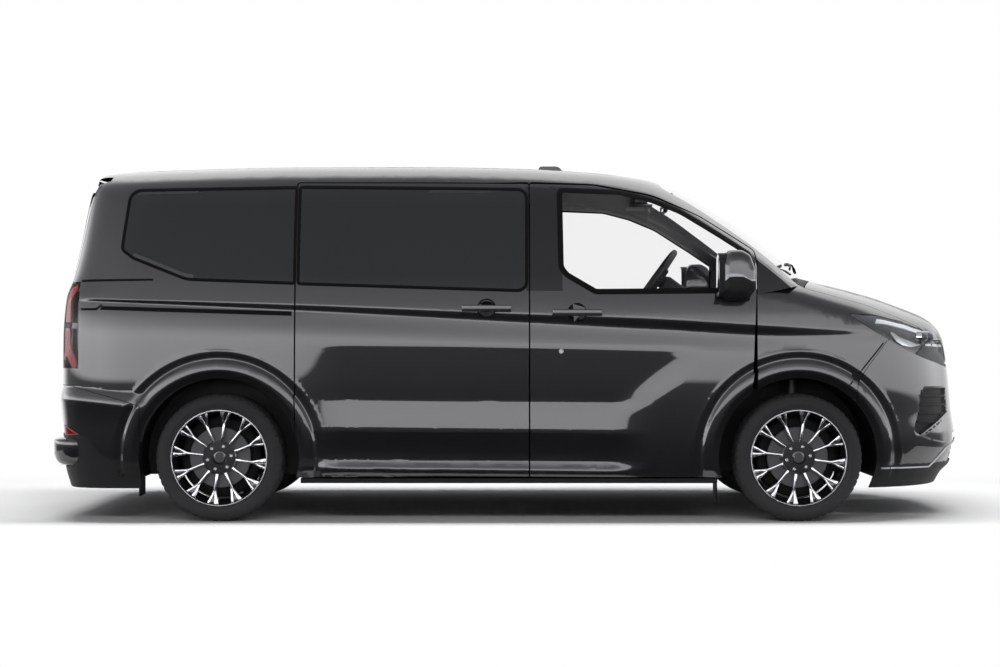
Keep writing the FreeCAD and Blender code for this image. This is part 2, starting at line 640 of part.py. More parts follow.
def make_goosenecks():
    """The two hinge arms under the bonnet's rear edge: an eye on the pin, a leg down, and a curve up to the skin."""
    centre = V(bonnet_hinge_x, -hinge_arm_y, bonnet_hinge_z)
    start = centre + V(0, -hinge_arm_width / 2, 0)
    across = V(0, 1, 0)
    ring = Part.makeCylinder(neck_radius + neck_width, hinge_arm_width, start, across).cut(
        Part.makeCylinder(neck_radius, hinge_arm_width, start, across))
    sweep = box(bonnet_hinge_x, bonnet_hinge_x + neck_radius * 2, -hinge_arm_y - hinge_arm_width,
                -hinge_arm_y + hinge_arm_width, bonnet_hinge_z - neck_radius * 2, bonnet_hinge_z)
    neck = ring.common(sweep)
    leg = box(bonnet_hinge_x, bonnet_hinge_x + neck_radius + neck_width / 2, start.y, start.y + hinge_arm_width,
              bonnet_hinge_z - neck_width / 2, bonnet_hinge_z + neck_width / 2)
    leg.rotate(centre, across, neck_arc)
    wedge = box(bonnet_hinge_x, bonnet_hinge_x + neck_radius * 2, start.y, start.y + hinge_arm_width,
                bonnet_hinge_z, bonnet_hinge_z + neck_radius * 2)
    wedge.rotate(centre, across, neck_arc)
    neck = neck.common(wedge)
    eye = Part.makeCylinder(hinge_eye_radius, hinge_arm_width, start, across)
    bore = Part.makeCylinder(hinge_pin_radius + running_gap, hinge_arm_width, start, across)
    arm = fused([neck, leg, eye]).cut(bore)
    return [arm, mirrored(arm)]


def make_grille(grille_hole, intake_hole):
    """Bars that follow the nose, in the upper grille and the lower intake."""
    plate = bonnet_body(grille_inset).cut(bonnet_body(grille_inset + grille_depth))
    pieces = []
    for hole, shares, bars in ((grille_hole, GRILLE_SHARES, bar_count), (intake_hole, INTAKE_SHARES, 3)):
        low = roof_height * min(z for y, z, r in shares)
        pitch = (roof_height * max(z for y, z, r in shares) - low) / bars
        cutters = []
        for i in range(bars + 1):
            z = low + pitch * i
            cutters.append(box(front_axle_x, half_length, -half_width, 0, z - bar_height / 2, z + bar_height / 2))
        for i in range(rib_count // 2 + 1):
            y = -rib_pitch * i
            cutters.append(box(front_axle_x, half_length, y - rib_width / 2, min(y + rib_width / 2, 0), low,
                               low + pitch * bars))
        lattice = cutters[0].fuse(cutters[1:])
        pieces.append(whole(plate.common(hole).common(lattice)))
    return Part.makeCompound(pieces)


# Chassis sizes
beam_radius = 45.0
hub_radius = 70.0
hub_length = 60.0
spring_y = 560.0
spring_width = 70.0
spring_thickness = 22.0
spring_reach = 640.0
spring_z = 300.0
disc_radius = 165.0
disc_thickness = 26.0
disc_face_share = 0.42
rim_face_depth = 26.0
rim_wall = 7.0
rim_round = 4.0
lip_round = 3.0
hub_round = 6.0
spoke_width = 34.0
spoke_depth = 30.0
spoke_rim_width = 62.0
spoke_hub_radius = 74.0
hub_cap_radius = 34.0
wheel_nut_count = 6
wheel_nut_radius = 13.0
wheel_nut_circle = 64.0
tyre_bulge = 8.0
tyre_shoulder = 34.0
engine_length = 560.0
engine_half_width = 280.0
engine_bottom_z = 300.0
engine_height = 560.0
subframe_height = 60.0
strut_radius = 26.0
arm_thickness = 22.0
tank_length = 900.0
tank_width = 480.0
tank_height = 190.0
pipe_radius = 30.0
silencer_radius = 95.0
silencer_length = 620.0
strut_y = 690.0
strut_swing = 50.0
flap_thickness = 6.0
flap_outer_y = 888.0
flap_inner_y = 730.0
flap_bottom_z = 130.0
slot_top_z = 285.0
slot_share = 0.46
radiator_x = 2270.0
radiator_depth = 60.0
radiator_half_width = 400.0
radiator_bottom_z = 300.0
radiator_top_z = 930.0
tank_inner_y = 120.0
exhaust_y = 300.0
exhaust_front_x = 1200.0
tail_clear = 160.0


def revolve_y(profile, x, y, z):
    """A solid turned about the Y line through (x, y, z) from closed corners (radius, y, corner radius)."""
    wire = outline(profile, lambda r, v: V(r, v, 0))
    solid = Part.Face(wire).revolve(V(0, 0, 0), V(0, 1, 0), 360)
    solid.translate(V(x, y, z))
    return solid


def make_tyre():
    """Centred on its own middle, outer face towards -Y, its beads on the rim."""
    half = tyre_width / 2
    bead = rim_radius - rim_lip + seat_gap
    lip = rim_radius + seat_gap
    side = half + tyre_bulge / 2
    near = [(bead, -half * 0.78, 0.0), (lip, -half * 0.85, 0.0), (lip, -half * 0.98, 0.0),
            (rim_radius + tyre_bulge, -side, tyre_bulge * 0.5), (tyre_radius - tyre_shoulder, -side, tyre_shoulder),
            (tyre_radius, -half * 0.80, tyre_shoulder)]
    far = [(r, -y, corner) for r, y, corner in reversed(near)]
    return revolve_y(near + far, 0, 0, 0)


def make_rim():
    """A wheel with paired spokes, its brake disc and hub, centred like the tyre."""
    half = tyre_width / 2
    face = -half
    seat = rim_radius - rim_lip
    barrel = [(seat, -half * 0.80, 0.0), (rim_radius, -half * 0.86, rim_round), (rim_radius, face, rim_round),
              (rim_radius - rim_wall * 2, face, rim_round), (seat - rim_wall, -half * 0.80, rim_round),
              (seat - rim_wall, half * 0.80, rim_round), (rim_radius - rim_wall, half, lip_round),
              (rim_radius, half, lip_round), (rim_radius, half * 0.86, rim_round), (seat, half * 0.80, 0.0)]
    pieces = [revolve_y(barrel, 0, 0, 0)]
    hub_face = face + rim_face_depth
    pieces.append(revolve_y([(0.0, hub_face, 0.0), (spoke_hub_radius, hub_face, hub_round),
                             (spoke_hub_radius + rim_wall, hub_face + spoke_depth, rim_round),
                             (0.0, hub_face + spoke_depth, 0.0)], 0, 0, 0))
    pieces.append(tube_at(hub_cap_radius, hub_face - rim_wall, hub_face + rim_wall))
    tip = seat - rim_wall / 2
    for i in range(spoke_count):
        turn = 360.0 * (i + 0.5) / spoke_count
        spoke = prism_flat([(spoke_hub_radius * 0.8, -spoke_width / 2), (tip - spoke_rim_width, -spoke_width * 0.4),
                            (tip, -spoke_rim_width / 2), (tip, spoke_rim_width / 2),
                            (tip - spoke_rim_width, spoke_width * 0.4), (spoke_hub_radius * 0.8, spoke_width / 2)],
                           hub_face, spoke_depth)
        spoke.rotate(V(0, 0, 0), V(0, 1, 0), turn)
        pieces.append(spoke)
    for i in range(wheel_nut_count):
        a = 2 * math.pi * i / wheel_nut_count
        nut = tube_at(wheel_nut_radius, hub_face - rim_wall, hub_face + rim_wall)
        nut.translate(V(wheel_nut_circle * math.cos(a), 0, wheel_nut_circle * math.sin(a)))
        pieces.append(nut)
    disc_y = hub_face + spoke_depth
    pieces.append(tube_at(disc_radius, disc_y, disc_y + disc_thickness))
    return fused(pieces)


def tube_at(radius, y0, y1):
    return tube_y(radius, 0, 0, y0, y1)


def prism_flat(points, y, depth):
    """A plate in the wheel's plane: corners (radius outwards, across)."""
    wire = Part.makePolygon([V(u, y, v) for u, v in points + points[:1]])
    return Part.Face(wire).extrude(V(0, depth, 0))


def wheel_back_y():
    """How far out the hub flange's face stands, where the brake disc's back lies."""
    return wheel_centre_y + tyre_width / 2 - rim_face_depth - spoke_depth - disc_thickness


def make_chassis():
    nodes = {}
    # Floor, sills, arch liners
    floor = box(floor_rear_x, floor_front_x, -floor_half_width, floor_half_width, floor_top_z - floor_thickness,
                floor_top_z)
    liner_outer = arch_radius + liner_wall
    holes = []
    for axle_x, inner_y in ((front_axle_x, front_liner_y), (rear_axle_x, rear_liner_y)):
        hole = tube_y(liner_outer, axle_x, tyre_radius, -flank_outer_y, -inner_y + liner_wall)
        holes += [hole, mirrored(hole)]
    nodes["floor_pan"] = largest(floor.cut(holes))
    sills = []
    sill_outer_y = flank(door_bottom_z) - lower_door_wall - door_gap
    sill = box(rear_axle_x + liner_outer, front_axle_x - liner_outer, -sill_outer_y, -sill_inner_y, sill_bottom_z,
               floor_top_z - floor_thickness)
    skirt = wrap(0).common(box(rear_axle_x + liner_outer, front_axle_x - liner_outer, -flank_outer_y,
                               -sill_outer_y, sill_bottom_z, door_bottom_z - panel_gap))
    sills.append(largest(fused([sill, skirt])))
    nodes["sills"] = both(sills[0])
    liners = []
    door_reach = flank(liner_bottom_z) - lower_door_wall - door_gap * 2
    for axle_x, inner_y, skin, door_x in ((front_axle_x, front_liner_y, front_wall, shut_front_x),
                                          (rear_axle_x, rear_liner_y, wall, shut_rear_x)):
        liner = tube_y(liner_outer, axle_x, tyre_radius, -half_width, -inner_y + liner_wall)
        door_side = (axle_x - half_width, door_x) if axle_x > 0 else (door_x - door_gap * 3, axle_x + half_width)
        gap_z = (0, slot_top_z) if axle_x > 0 else (0, tyre_radius + beam_radius + door_gap)
        gap_x = arch_radius * slot_share if axle_x > 0 else beam_radius + door_gap
        liner = cut_all(liner, [tube_y(arch_radius, axle_x, tyre_radius, -flank_outer_y, -inner_y),
                                box(axle_x - half_width, axle_x + half_width, -flank_outer_y, 0, 0, liner_bottom_z),
                                box(*door_side, -half_width, -door_reach, 0, roof_height),
                                box(axle_x - gap_x, axle_x + gap_x, -flank_outer_y, 0, *gap_z)])
        liners.append(largest(wrap(skin + seat_gap).common(liner)))
    nodes["arch_liners"] = Part.makeCompound(liners + [mirrored(liner) for liner in liners])

    # Bulkhead with the posts that carry the front doors
    plate = box(bulkhead_x, bulkhead_x + bulkhead_thickness, -floor_half_width, floor_half_width,
                floor_top_z - floor_thickness * 4, bulkhead_top_z)
    post = box(shut_front_x + panel_gap, bulkhead_x + bulkhead_thickness, -floor_half_width - post_width / 2,
               -floor_half_width + post_width / 2, floor_top_z, bulkhead_top_z - post_width / 2)
    toe = box(floor_front_x, bulkhead_x, -floor_half_width, floor_half_width, floor_top_z - floor_thickness,
              floor_top_z)
    cheek_y = -hinge_arm_y - hinge_arm_width / 2 - running_gap
    front = bulkhead_x + bulkhead_thickness
    cheek = prism_y([(front, bulkhead_top_z - post_width, 0.0), (front, bulkhead_top_z, 0.0),
                     (bonnet_hinge_x - hinge_eye_radius, bonnet_hinge_z + hinge_eye_radius, 0.0),
                     (bonnet_hinge_x + hinge_eye_radius, bonnet_hinge_z + hinge_eye_radius, 0.0),
                     (bonnet_hinge_x + hinge_eye_radius, bonnet_hinge_z - hinge_eye_radius, 0.0)],
                    cheek_y - hinge_cheek, cheek_y)
    pin = tube_y(hinge_pin_radius, bonnet_hinge_x, bonnet_hinge_z, cheek_y - hinge_cheek,
                 cheek_y + hinge_arm_width + hinge_cheek)
    hinge = cheek.fuse(pin)
    bulkhead = fused([plate, post, mirrored(post), toe, hinge, mirrored(hinge)]).cut(holes)
    nodes["front_bulkhead"] = largest(bulkhead)

    # Front subframe, engine, radiator
    engine_x = front_axle_x + engine_length * 0.1
    nodes["engine_block"] = box(engine_x, engine_x + engine_length, -engine_half_width, engine_half_width,
                                engine_bottom_z, engine_bottom_z + engine_height)
    frame_z = engine_bottom_z - subframe_height - running_gap
    subframe = box(front_axle_x - arch_radius * 0.6, radiator_x + radiator_depth, -front_liner_y * 0.9,
                   front_liner_y * 0.9, frame_z, frame_z + subframe_height)
    arm_points = [(front_axle_x - arch_radius * 0.5, -front_liner_y * 0.85, 0.0),
                  (front_axle_x - beam_radius, -kingpin_y, beam_radius * 0.5),
                  (front_axle_x + beam_radius, -kingpin_y, beam_radius * 0.5),
                  (front_axle_x + arch_radius * 0.5, -front_liner_y * 0.85, 0.0)]
    arm = prism_z(arm_points, frame_z, frame_z + arm_thickness)
    nodes["front_subframe"] = fused([subframe, arm, mirrored(arm)])
    top = box(radiator_x, radiator_x + radiator_depth, -radiator_half_width, radiator_half_width,
              radiator_bottom_z, radiator_top_z)
    nodes["radiator"] = top

    # Rear axle on its leaf springs
    axle = tube_y(beam_radius, rear_axle_x, tyre_radius, -wheel_back_y() + hub_length, wheel_back_y() - hub_length)
    flange = tube_y(hub_radius, rear_axle_x, tyre_radius, -wheel_back_y() + running_gap,
                    -wheel_back_y() + hub_length)
    nodes["rear_axle"] = fused([axle, flange, mirrored(flange)])
    leaf = prism_y([(rear_axle_x - spring_reach, floor_top_z - floor_thickness - spring_thickness * 2, 0.0),
                    (rear_axle_x - spring_reach, floor_top_z - floor_thickness, 0.0),
                    (rear_axle_x - spring_reach * 0.85, floor_top_z - floor_thickness, 0.0),
                    (rear_axle_x - spring_reach * 0.3, tyre_radius - beam_radius, 0.0),
                    (rear_axle_x + spring_reach * 0.3, tyre_radius - beam_radius, 0.0),
                    (rear_axle_x + spring_reach * 0.85, floor_top_z - floor_thickness, 0.0),
                    (rear_axle_x + spring_reach, floor_top_z - floor_thickness, 0.0),
                    (rear_axle_x + spring_reach, floor_top_z - floor_thickness - spring_thickness * 2, 0.0),
                    (rear_axle_x + spring_reach * 0.35, tyre_radius - beam_radius - spring_thickness * 2, 0.0),
                    (rear_axle_x - spring_reach * 0.35, tyre_radius - beam_radius - spring_thickness * 2, 0.0)],
                   -spring_y - spring_width / 2, -spring_y + spring_width / 2)
    nodes["leaf_springs"] = both(leaf)

    # Mud flaps on the rear liners and on the sills' front ends
    rear_flap_x = rear_axle_x - liner_outer - seat_gap
    rear_flap = box(rear_flap_x - flap_thickness, rear_flap_x, -flap_outer_y, -flap_inner_y, flap_bottom_z,
                    tyre_radius)
    front_flap_x = front_axle_x - liner_outer + seat_gap
    front_flap = box(front_flap_x, front_flap_x + flap_thickness, -flap_outer_y, -flap_inner_y,
                     flap_bottom_z * 0.75, liner_bottom_z - door_gap * 2)
    flaps = Part.makeCompound([rear_flap, front_flap])
    nodes["mud_flaps"] = Part.makeCompound(flaps.Solids + mirrored(flaps).Solids)

    # Fuel tank and exhaust under the floor
    under = floor_top_z - floor_thickness
    tank = box(-tank_length, 0, tank_inner_y, tank_inner_y + tank_width, under - tank_height, under)
    nodes["fuel_tank"] = tank.makeFillet(tank_height * 0.2, tank.Edges[:4])
    pipe_z = under - silencer_radius
    silencer = Part.makeCylinder(silencer_radius, silencer_length, V(-silencer_length, -exhaust_y, pipe_z),
                                 V(1, 0, 0))
    pipe = Part.makeCylinder(pipe_radius, half_length + exhaust_front_x - tail_clear,
                             V(-half_length + tail_clear, -exhaust_y, under - pipe_radius - seat_gap), V(1, 0, 0))
    nodes["exhaust"] = fused([silencer, pipe])
    return nodes


# Cabin sizes
row_places = 3
seat_width = 460.0
seat_round = 40.0
back_round = 30.0
dash_round = 60.0
pod_rear_round = 20.0
pod_front_round = 40.0
seat_length = 480.0
seat_height = 390.0
cushion_depth = 120.0
back_height = 620.0
back_depth = 120.0
head_width = 260.0
head_height = 190.0
front_seat_x = 420.0
middle_seat_x = -420.0
rear_seat_x = -1270.0
front_seat_y = 430.0
dash_rear_x = 1010.0
dash_half_width = 812.0
dash_bottom_z = 900.0
wheel_rim_radius = 190.0
wheel_tube_radius = 15.0
steering_x = 808.0
steering_y = 400.0
steering_z = 1323.0
steering_lean_share = 0.588
column_length = 330.0
column_radius = 38.0
mirror_front_x = 1285.0
mirror_rear_x = 1079.0
mirror_bottom_z = 1175.0
mirror_top_z = 1455.0
mirror_outer_y = 1137.0
mirror_inner_y = 975.0
mirror_round = 38.0
pod_rear_x = 143.0
pod_front_x = 324.0
pod_top_z = 1979.0
pod_half_width = 38.0


def make_seat(y, places):
    """A seat of some places side by side: cushion and back on a plinth, with headrests."""
    width = seat_width * places
    profile = [(0.0, cushion_depth * 0.2, seat_round), (0.0, cushion_depth, seat_round),
               (-seat_length + back_depth * 0.3, cushion_depth, back_round),
               (-seat_length - back_height * 0.28, back_height, seat_round),
               (-seat_length - back_height * 0.28 - back_depth, back_height * 0.98, seat_round),
               (-seat_length - back_depth * 0.8, 0.0, seat_round)]
    seat = prism_y(profile, y - width / 2, y + width / 2)
    pieces = [seat]
    plinth = box(-seat_length, -back_depth * 0.5, y - width * 0.4, y + width * 0.4, -seat_height + cushion_depth,
                 cushion_depth * 0.1)
    pieces.append(plinth)
    for i in range(places):
        centre = y - width / 2 + seat_width * (i + 0.5)
        head = box(-seat_length - back_height * 0.28 - back_depth * 0.85, -seat_length - back_height * 0.28,
                   centre - head_width / 2, centre + head_width / 2, back_height + back_depth * 0.2,
                   back_height + head_height)
        head = head.makeFillet(back_depth * 0.25, head.Edges)
        stalk = box(-seat_length - back_height * 0.28 - back_depth * 0.6,
                    -seat_length - back_height * 0.28 - back_depth * 0.4, centre - head_width / 5,
                    centre + head_width / 5, back_height * 0.9, back_height + back_depth * 0.4)
        pieces += [head, stalk]
    return fused(pieces)


def place_seat(x, y, places):
    seat = make_seat(y, places)
    seat.translate(V(x, 0, floor_top_z + seat_height - cushion_depth + seat_gap))
    return seat


def make_cabin():
    nodes = {}
    nodes["front_seats"] = Part.makeCompound([place_seat(front_seat_x, -front_seat_y, 1),
                                              place_seat(front_seat_x, front_seat_y, 1)])
    nodes["middle_seats"] = place_seat(middle_seat_x, 0, row_places)
    nodes["rear_seats"] = place_seat(rear_seat_x, 0, row_places)
    profile = [(dash_rear_x, dash_bottom_z, 0.0), (dash_rear_x, dash_bottom_z + frame_depth * 2, dash_round),
               (dash_rear_x + frame_depth, belt_z - frame_depth * 0.1, dash_round),
               (bulkhead_x, bulkhead_top_z + floor_thickness * 0.5, 0.0), (bulkhead_x, dash_bottom_z, 0.0)]
    nodes["dashboard"] = prism_y(profile, -dash_half_width, dash_half_width)
    # Steering wheel, leaning back on its column
    lean = steering_lean_share
    rise = math.sqrt(1 - lean * lean)
    axis = V(-rise, 0, lean)
    centre = V(steering_x, -steering_y, steering_z)
    ring = Part.makeTorus(wheel_rim_radius - wheel_tube_radius, wheel_tube_radius, V(0, 0, 0), V(0, 0, 1))
    hub = Part.makeCylinder(column_radius * 1.6, column_radius, V(0, 0, -column_radius))
    pieces = [ring, hub]
    for turn in (0, 180, 270):
        bar = box(0, wheel_rim_radius - wheel_tube_radius, -wheel_tube_radius, wheel_tube_radius,
                  -column_radius * 0.7, -column_radius * 0.3)
        bar.rotate(V(0, 0, 0), V(0, 0, 1), turn)
        pieces.append(bar)
    wheel = fused(pieces)
    tilt = FreeCAD.Rotation(V(0, 0, 1), axis)
    wheel.Placement = FreeCAD.Placement(centre, tilt)
    nodes["steering_wheel"] = wheel
    column = Part.makeCylinder(column_radius, column_length, centre - axis * (column_radius + running_gap), axis * -1)
    nodes["steering_column"] = column.cut(nodes["dashboard"])
    return nodes


def make_mirror():
    head = box(mirror_rear_x, mirror_front_x, -mirror_outer_y, -mirror_inner_y, mirror_bottom_z, mirror_top_z)
    head = head.makeFillet(mirror_round, head.Edges)
    arm = box(mirror_front_x - mirror_round * 3, mirror_front_x - mirror_round, -mirror_inner_y - mirror_round,
              -flank(mirror_bottom_z) + wall * 0.5, mirror_bottom_z + mirror_round * 0.1,
              mirror_bottom_z + mirror_round * 1.2)
    return fused([head, arm])


def make_pod():
    x = (pod_front_x + pod_rear_x) / 2
    base = roof_z(x, 0) - wall * 0.5
    profile = [(pod_rear_x, base, 0.0), (pod_rear_x + pod_half_width * 0.3, pod_top_z, pod_rear_round),
               (pod_front_x - pod_half_width * 1.5, pod_top_z, pod_front_round), (pod_front_x, base, 0.0)]
    return whole(prism_y(profile, -pod_half_width, 0).cut(roof_body(0)))


def make_knuckle():
    """The right knuckle: hub carrier, strut and ball joint on the kingpin line."""
    face = -wheel_back_y() + running_gap
    foot_z = engine_bottom_z - subframe_height + arm_thickness
    carrier = tube_y(hub_radius, front_axle_x, tyre_radius, face, -kingpin_y)
    post = box(front_axle_x - beam_radius, front_axle_x + beam_radius, -kingpin_y - beam_radius * 0.4,
               -kingpin_y + beam_radius * 0.9, foot_z, tyre_radius + hub_radius)
    arm = box(front_axle_x - strut_radius, front_axle_x + strut_radius, -kingpin_y, -strut_y, tyre_radius,
              tyre_radius + hub_radius)
    strut_height = math.sqrt(arch_radius ** 2 - (strut_radius + strut_swing) ** 2) - panel_gap
    strut = Part.makeCylinder(strut_radius, strut_height, V(front_axle_x, -strut_y, tyre_radius))
    return fused([carrier, post, arm, strut])


def main():
    os.makedirs("parts", exist_ok=True)
    nodes = make_panels()
    nodes.update(make_chassis())
    nodes.update(make_cabin())
    tyre = make_tyre()
    rim = make_rim()
    for end, axle_x in (("front", front_axle_x), ("rear", rear_axle_x)):
        for name, shape in (("tyre", tyre), ("wheel", rim)):
            right = shape.copy()
            right.translate(V(axle_x, -wheel_centre_y, tyre_radius))
            nodes["%s_%s_right" % (end, name)] = right
            nodes["%s_%s_left" % (end, name)] = mirrored(right)
    mirror = make_mirror()
    mirror = largest(mirror.cut(nodes["front_door_right"]))
    nodes["mirror_right"] = mirror
    nodes["mirror_left"] = mirrored(mirror)
    nodes["roof_aerial"] = make_pod()
    nodes["knuckle_right"] = make_knuckle()
    nodes["knuckle_left"] = mirrored(nodes["knuckle_right"])
    for name, shape in nodes.items():
        shape.exportStep("parts/%s.step" % name)
    return nodes


main()
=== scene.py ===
"""The minibus as photographed: paint, glass, lamps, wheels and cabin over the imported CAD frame."""
import math

import bmesh
import bpy
import numpy as np
from mathutils import Matrix, Vector


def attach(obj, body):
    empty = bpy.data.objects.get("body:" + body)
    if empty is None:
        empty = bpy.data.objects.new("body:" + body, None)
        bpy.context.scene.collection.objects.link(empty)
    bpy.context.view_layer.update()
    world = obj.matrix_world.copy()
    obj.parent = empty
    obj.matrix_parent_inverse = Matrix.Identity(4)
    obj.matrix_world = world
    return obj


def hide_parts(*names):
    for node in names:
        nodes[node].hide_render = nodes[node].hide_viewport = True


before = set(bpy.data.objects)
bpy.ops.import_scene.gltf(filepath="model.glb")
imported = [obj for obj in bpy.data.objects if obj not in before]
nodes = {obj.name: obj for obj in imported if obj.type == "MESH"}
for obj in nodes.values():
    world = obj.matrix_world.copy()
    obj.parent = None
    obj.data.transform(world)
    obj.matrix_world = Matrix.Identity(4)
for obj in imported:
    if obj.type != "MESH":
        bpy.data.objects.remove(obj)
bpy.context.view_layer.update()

# The vehicle's sizes, in metres
HALF_LENGTH = 2.525
HALF_WIDTH = 0.990
ROOF = 1.957
AXLES = {"front": 1.525, "rear": -1.575}
TYRE_RADIUS = 0.341
TYRE_WIDTH = 0.235
FRONT_LIMIT = 2.5211  # the CAD's own reach forwards
WHEEL_FACE = 0.972
RIM_RADIUS = 0.258
FRONT_BEND, REAR_BEND = 1.400, -1.600
FRONT_POWER, REAR_POWER = 2.7, 7.0
CORNER_BLEND = 0.050
ROOF_RIBS = (0.09, 0.27, 0.45)
PILLAR_REAR, PILLAR_FRONT, PILLAR_TOP = 0.066, 0.262, 1.802
LAMP_CORNER = -2.4275
LOWER_BAR, UPPER_BAR = (0.862, 0.898), (1.196, 1.232)
CLEAR_BAND = (0.925, 1.165)
MIRROR_BACK = 1.112
LOCK_PLACE = (0.2535, 0.912)

# How far in or out of the plain form a CAD face may lie and still count as the outside
PANEL_DEPTH, DOOR_DEPTH, SLIDING_DEPTH, SIDE_DEPTH = -0.012, -0.0035, -0.0041, -0.004
PANEL_CEILING, DOOR_CEILING = 0.0225, 0.0165

# Seat covers: voxels, seam width, and frames of the cloth simulation
FINE_VOXEL, QUICK_VOXEL = 0.006, 0.012
SEAM = 0.0065
CLOTH_FRAMES = 20

FOCUS_PIXELS, PHOTO_WIDTH, SENSOR = 1930, 1000, 36.0

# The outside's curves: share of the roof height, then share of the half width or half length
FLANK = [(0.09, 0.955), (0.15, 0.978), (0.25, 0.994), (0.36, 1.0), (0.46, 0.996), (0.56, 0.984), (0.632, 0.965),
         (0.77, 0.915), (0.87, 0.862), (0.945, 0.803), (1.03, 0.73)]
NOSE = [(0.09, 0.955), (0.12, 0.969), (0.145, 0.988), (0.21, 1.0), (0.3, 0.991), (0.4, 0.984), (0.48, 0.975),
        (0.55, 0.965), (0.7, 0.95), (1.03, 0.94)]
TAIL = [(0.09, 0.965), (0.15, 0.976), (0.3, 0.98), (0.5, 0.981), (0.61, 0.976), (0.67, 0.96), (0.74, 0.947),
        (0.885, 0.928), (0.945, 0.919), (1.03, 0.905)]
ROOF_LINE = [(-1.04, 0.945), (-0.93, 0.972), (-0.87, 0.983), (-0.71, 0.992), (-0.48, 0.999), (-0.2, 1.0),
             (0.0, 0.9955), (0.166, 0.984), (0.26, 0.9735), (0.305, 0.965), (0.345, 0.949), (0.39, 0.924),
             (0.443, 0.886), (0.527, 0.816), (0.665, 0.671), (1.08, 0.235)]
BONNET_LINE = [(0.5, 0.72), (0.665, 0.671), (0.693, 0.662), (0.749, 0.644), (0.804, 0.626), (0.86, 0.602),
               (0.916, 0.5755), (0.943, 0.5575), (0.971, 0.53), (1.0, 0.49), (1.03, 0.43)]
BONNET_CROWN = [(0.62, 0.82), (0.717, 0.95), (0.816, 1.06), (0.914, 1.12), (1.0, 1.15)]
BONNET_EDGE = [(0.62, 0.838), (0.717, 0.838), (0.816, 0.727), (0.914, 0.606), (1.0, 0.5)]

# Outlines in the side view: share of the half length, of the roof height, corner radius as share of half width
FRONT_WINDOW = [(0.0994, 0.910, 0.02), (0.228, 0.9034, 0.18), (0.292, 0.8825, 0.3), (0.3564, 0.849, 0.3),
                (0.4420, 0.7803, 0.06), (0.4990, 0.7320, 0.012), (0.4990, 0.6335, 0.02), (0.1743, 0.6300, 0.04),
                (0.1145, 0.6755, 0.06), (0.1018, 0.6950, 0.06)]
SLIDING_WINDOW = [(-0.4556, 0.9182, 0.008), (0.0260, 0.9115, 0.045), (0.0260, 0.6331, 0.045),
                  (-0.4556, 0.6525, 0.008)]
QUARTER_WINDOW = [(-0.8180, 0.9083, 0.06), (-0.4665, 0.9167, 0.008), (-0.4665, 0.6538, 0.008),
                  (-0.6937, 0.6648, 0.2), (-0.8074, 0.7230, 0.06), (-0.8310, 0.7451, 0.03),
                  (-0.8290, 0.7726, 0.2)]
REAR_WINDOW = [(-0.700, 0.6560, 0.08), (-0.650, 0.9060, 0.08), (0.650, 0.9060, 0.08), (0.700, 0.6560, 0.08)]


# Curves and the body's outside

def curve(points, x):
    """The CAD's smooth curve through given points, for arrays."""
    px = np.array([p[0] for p in points])
    py = np.array([p[1] for p in points])
    step = np.diff(px)
    slope = np.diff(py) / step
    before, after = slope[:-1], slope[1:]
    total = np.where(np.abs(before + after) < 1e-12, 1.0, before + after)
    inner = np.where(before * after > 0, 2 * before * after / total, 0.0)
    tangent = np.concatenate([slope[:1], inner, slope[-1:]])
    x = np.clip(x, px[0], px[-1])
    i = np.clip(np.searchsorted(px, x) - 1, 0, len(step) - 1)
    t = (x - px[i]) / step[i]
    return ((1 + 2 * t) * (1 - t) ** 2 * py[i] + t * (1 - t) ** 2 * step[i] * tangent[i]
            + t * t * (3 - 2 * t) * py[i + 1] + t * t * (t - 1) * step[i] * tangent[i + 1])


def flank(z):
    return HALF_WIDTH * curve(FLANK, z / ROOF)


def nose(z):
    return HALF_LENGTH * curve(NOSE, z / ROOF)


def tail(z):
    return -HALF_LENGTH * curve(TAIL, z / ROOF)


def ramp(v, start, end):
    """0 before start, 1 after end, smooth between; start may be the larger."""
    t = np.clip((v - start) / (end - start), 0.0, 1.0)
    return t * t * (3 - 2 * t)


def hump(v, a, b, c, d):
    """Rises from a to b, falls from c to d."""
    return ramp(v, a, b) * (1 - ramp(v, c, d))


def roof_z(x, y):
    centre = ROOF * curve(ROOF_LINE, x / HALF_LENGTH)
    t = ramp(x, 0.420, 1.150)
    return centre - 0.108 * (np.abs(y) / 0.780) ** 3.2 * (1 - t) - 0.139 * (y / 0.750) ** 2 * t


def roof_at(x, y):
    return float(roof_z(np.array([x]), np.array([y]))[0])


def plan_half_width(x, z):
    front = np.clip((x - FRONT_BEND) / (nose(z) - FRONT_BEND), 0, 1)
    rear = np.clip((REAR_BEND - x) / (REAR_BEND - tail(z)), 0, 1)
    return flank(z) * np.where(x > 0, (1 - front ** FRONT_POWER) ** (1 / FRONT_POWER),
                               (1 - rear ** REAR_POWER) ** (1 / REAR_POWER))


def bonnet_z(x, y):
    share = x / HALF_LENGTH
    edge = HALF_WIDTH * curve(BONNET_EDGE, share)
    drop = 0.092 * curve(BONNET_CROWN, share) * np.minimum(np.abs(y) / edge, 1.6) ** 2.2
    corner = np.maximum(plan_half_width(x, np.full_like(x, 1.120)), edge * 0.8)
    return ROOF * curve(BONNET_LINE, share) - drop - 0.040 * np.minimum(np.abs(y) / corner, 1.1) ** 9


def wrap_field(x, y, z):
    """How far outside the flanks, nose and tail a point is."""
    width = flank(z)
    across = np.abs(y) / width
    front = np.maximum(x - FRONT_BEND, 0) / (nose(z) - FRONT_BEND)
    rear = np.maximum(REAR_BEND - x, 0) / (REAR_BEND - tail(z))
    gauge = np.where(x > 0, (front ** FRONT_POWER + across ** FRONT_POWER) ** (1 / FRONT_POWER),
                     (rear ** REAR_POWER + across ** REAR_POWER) ** (1 / REAR_POWER))
    return (gauge - 1) * width


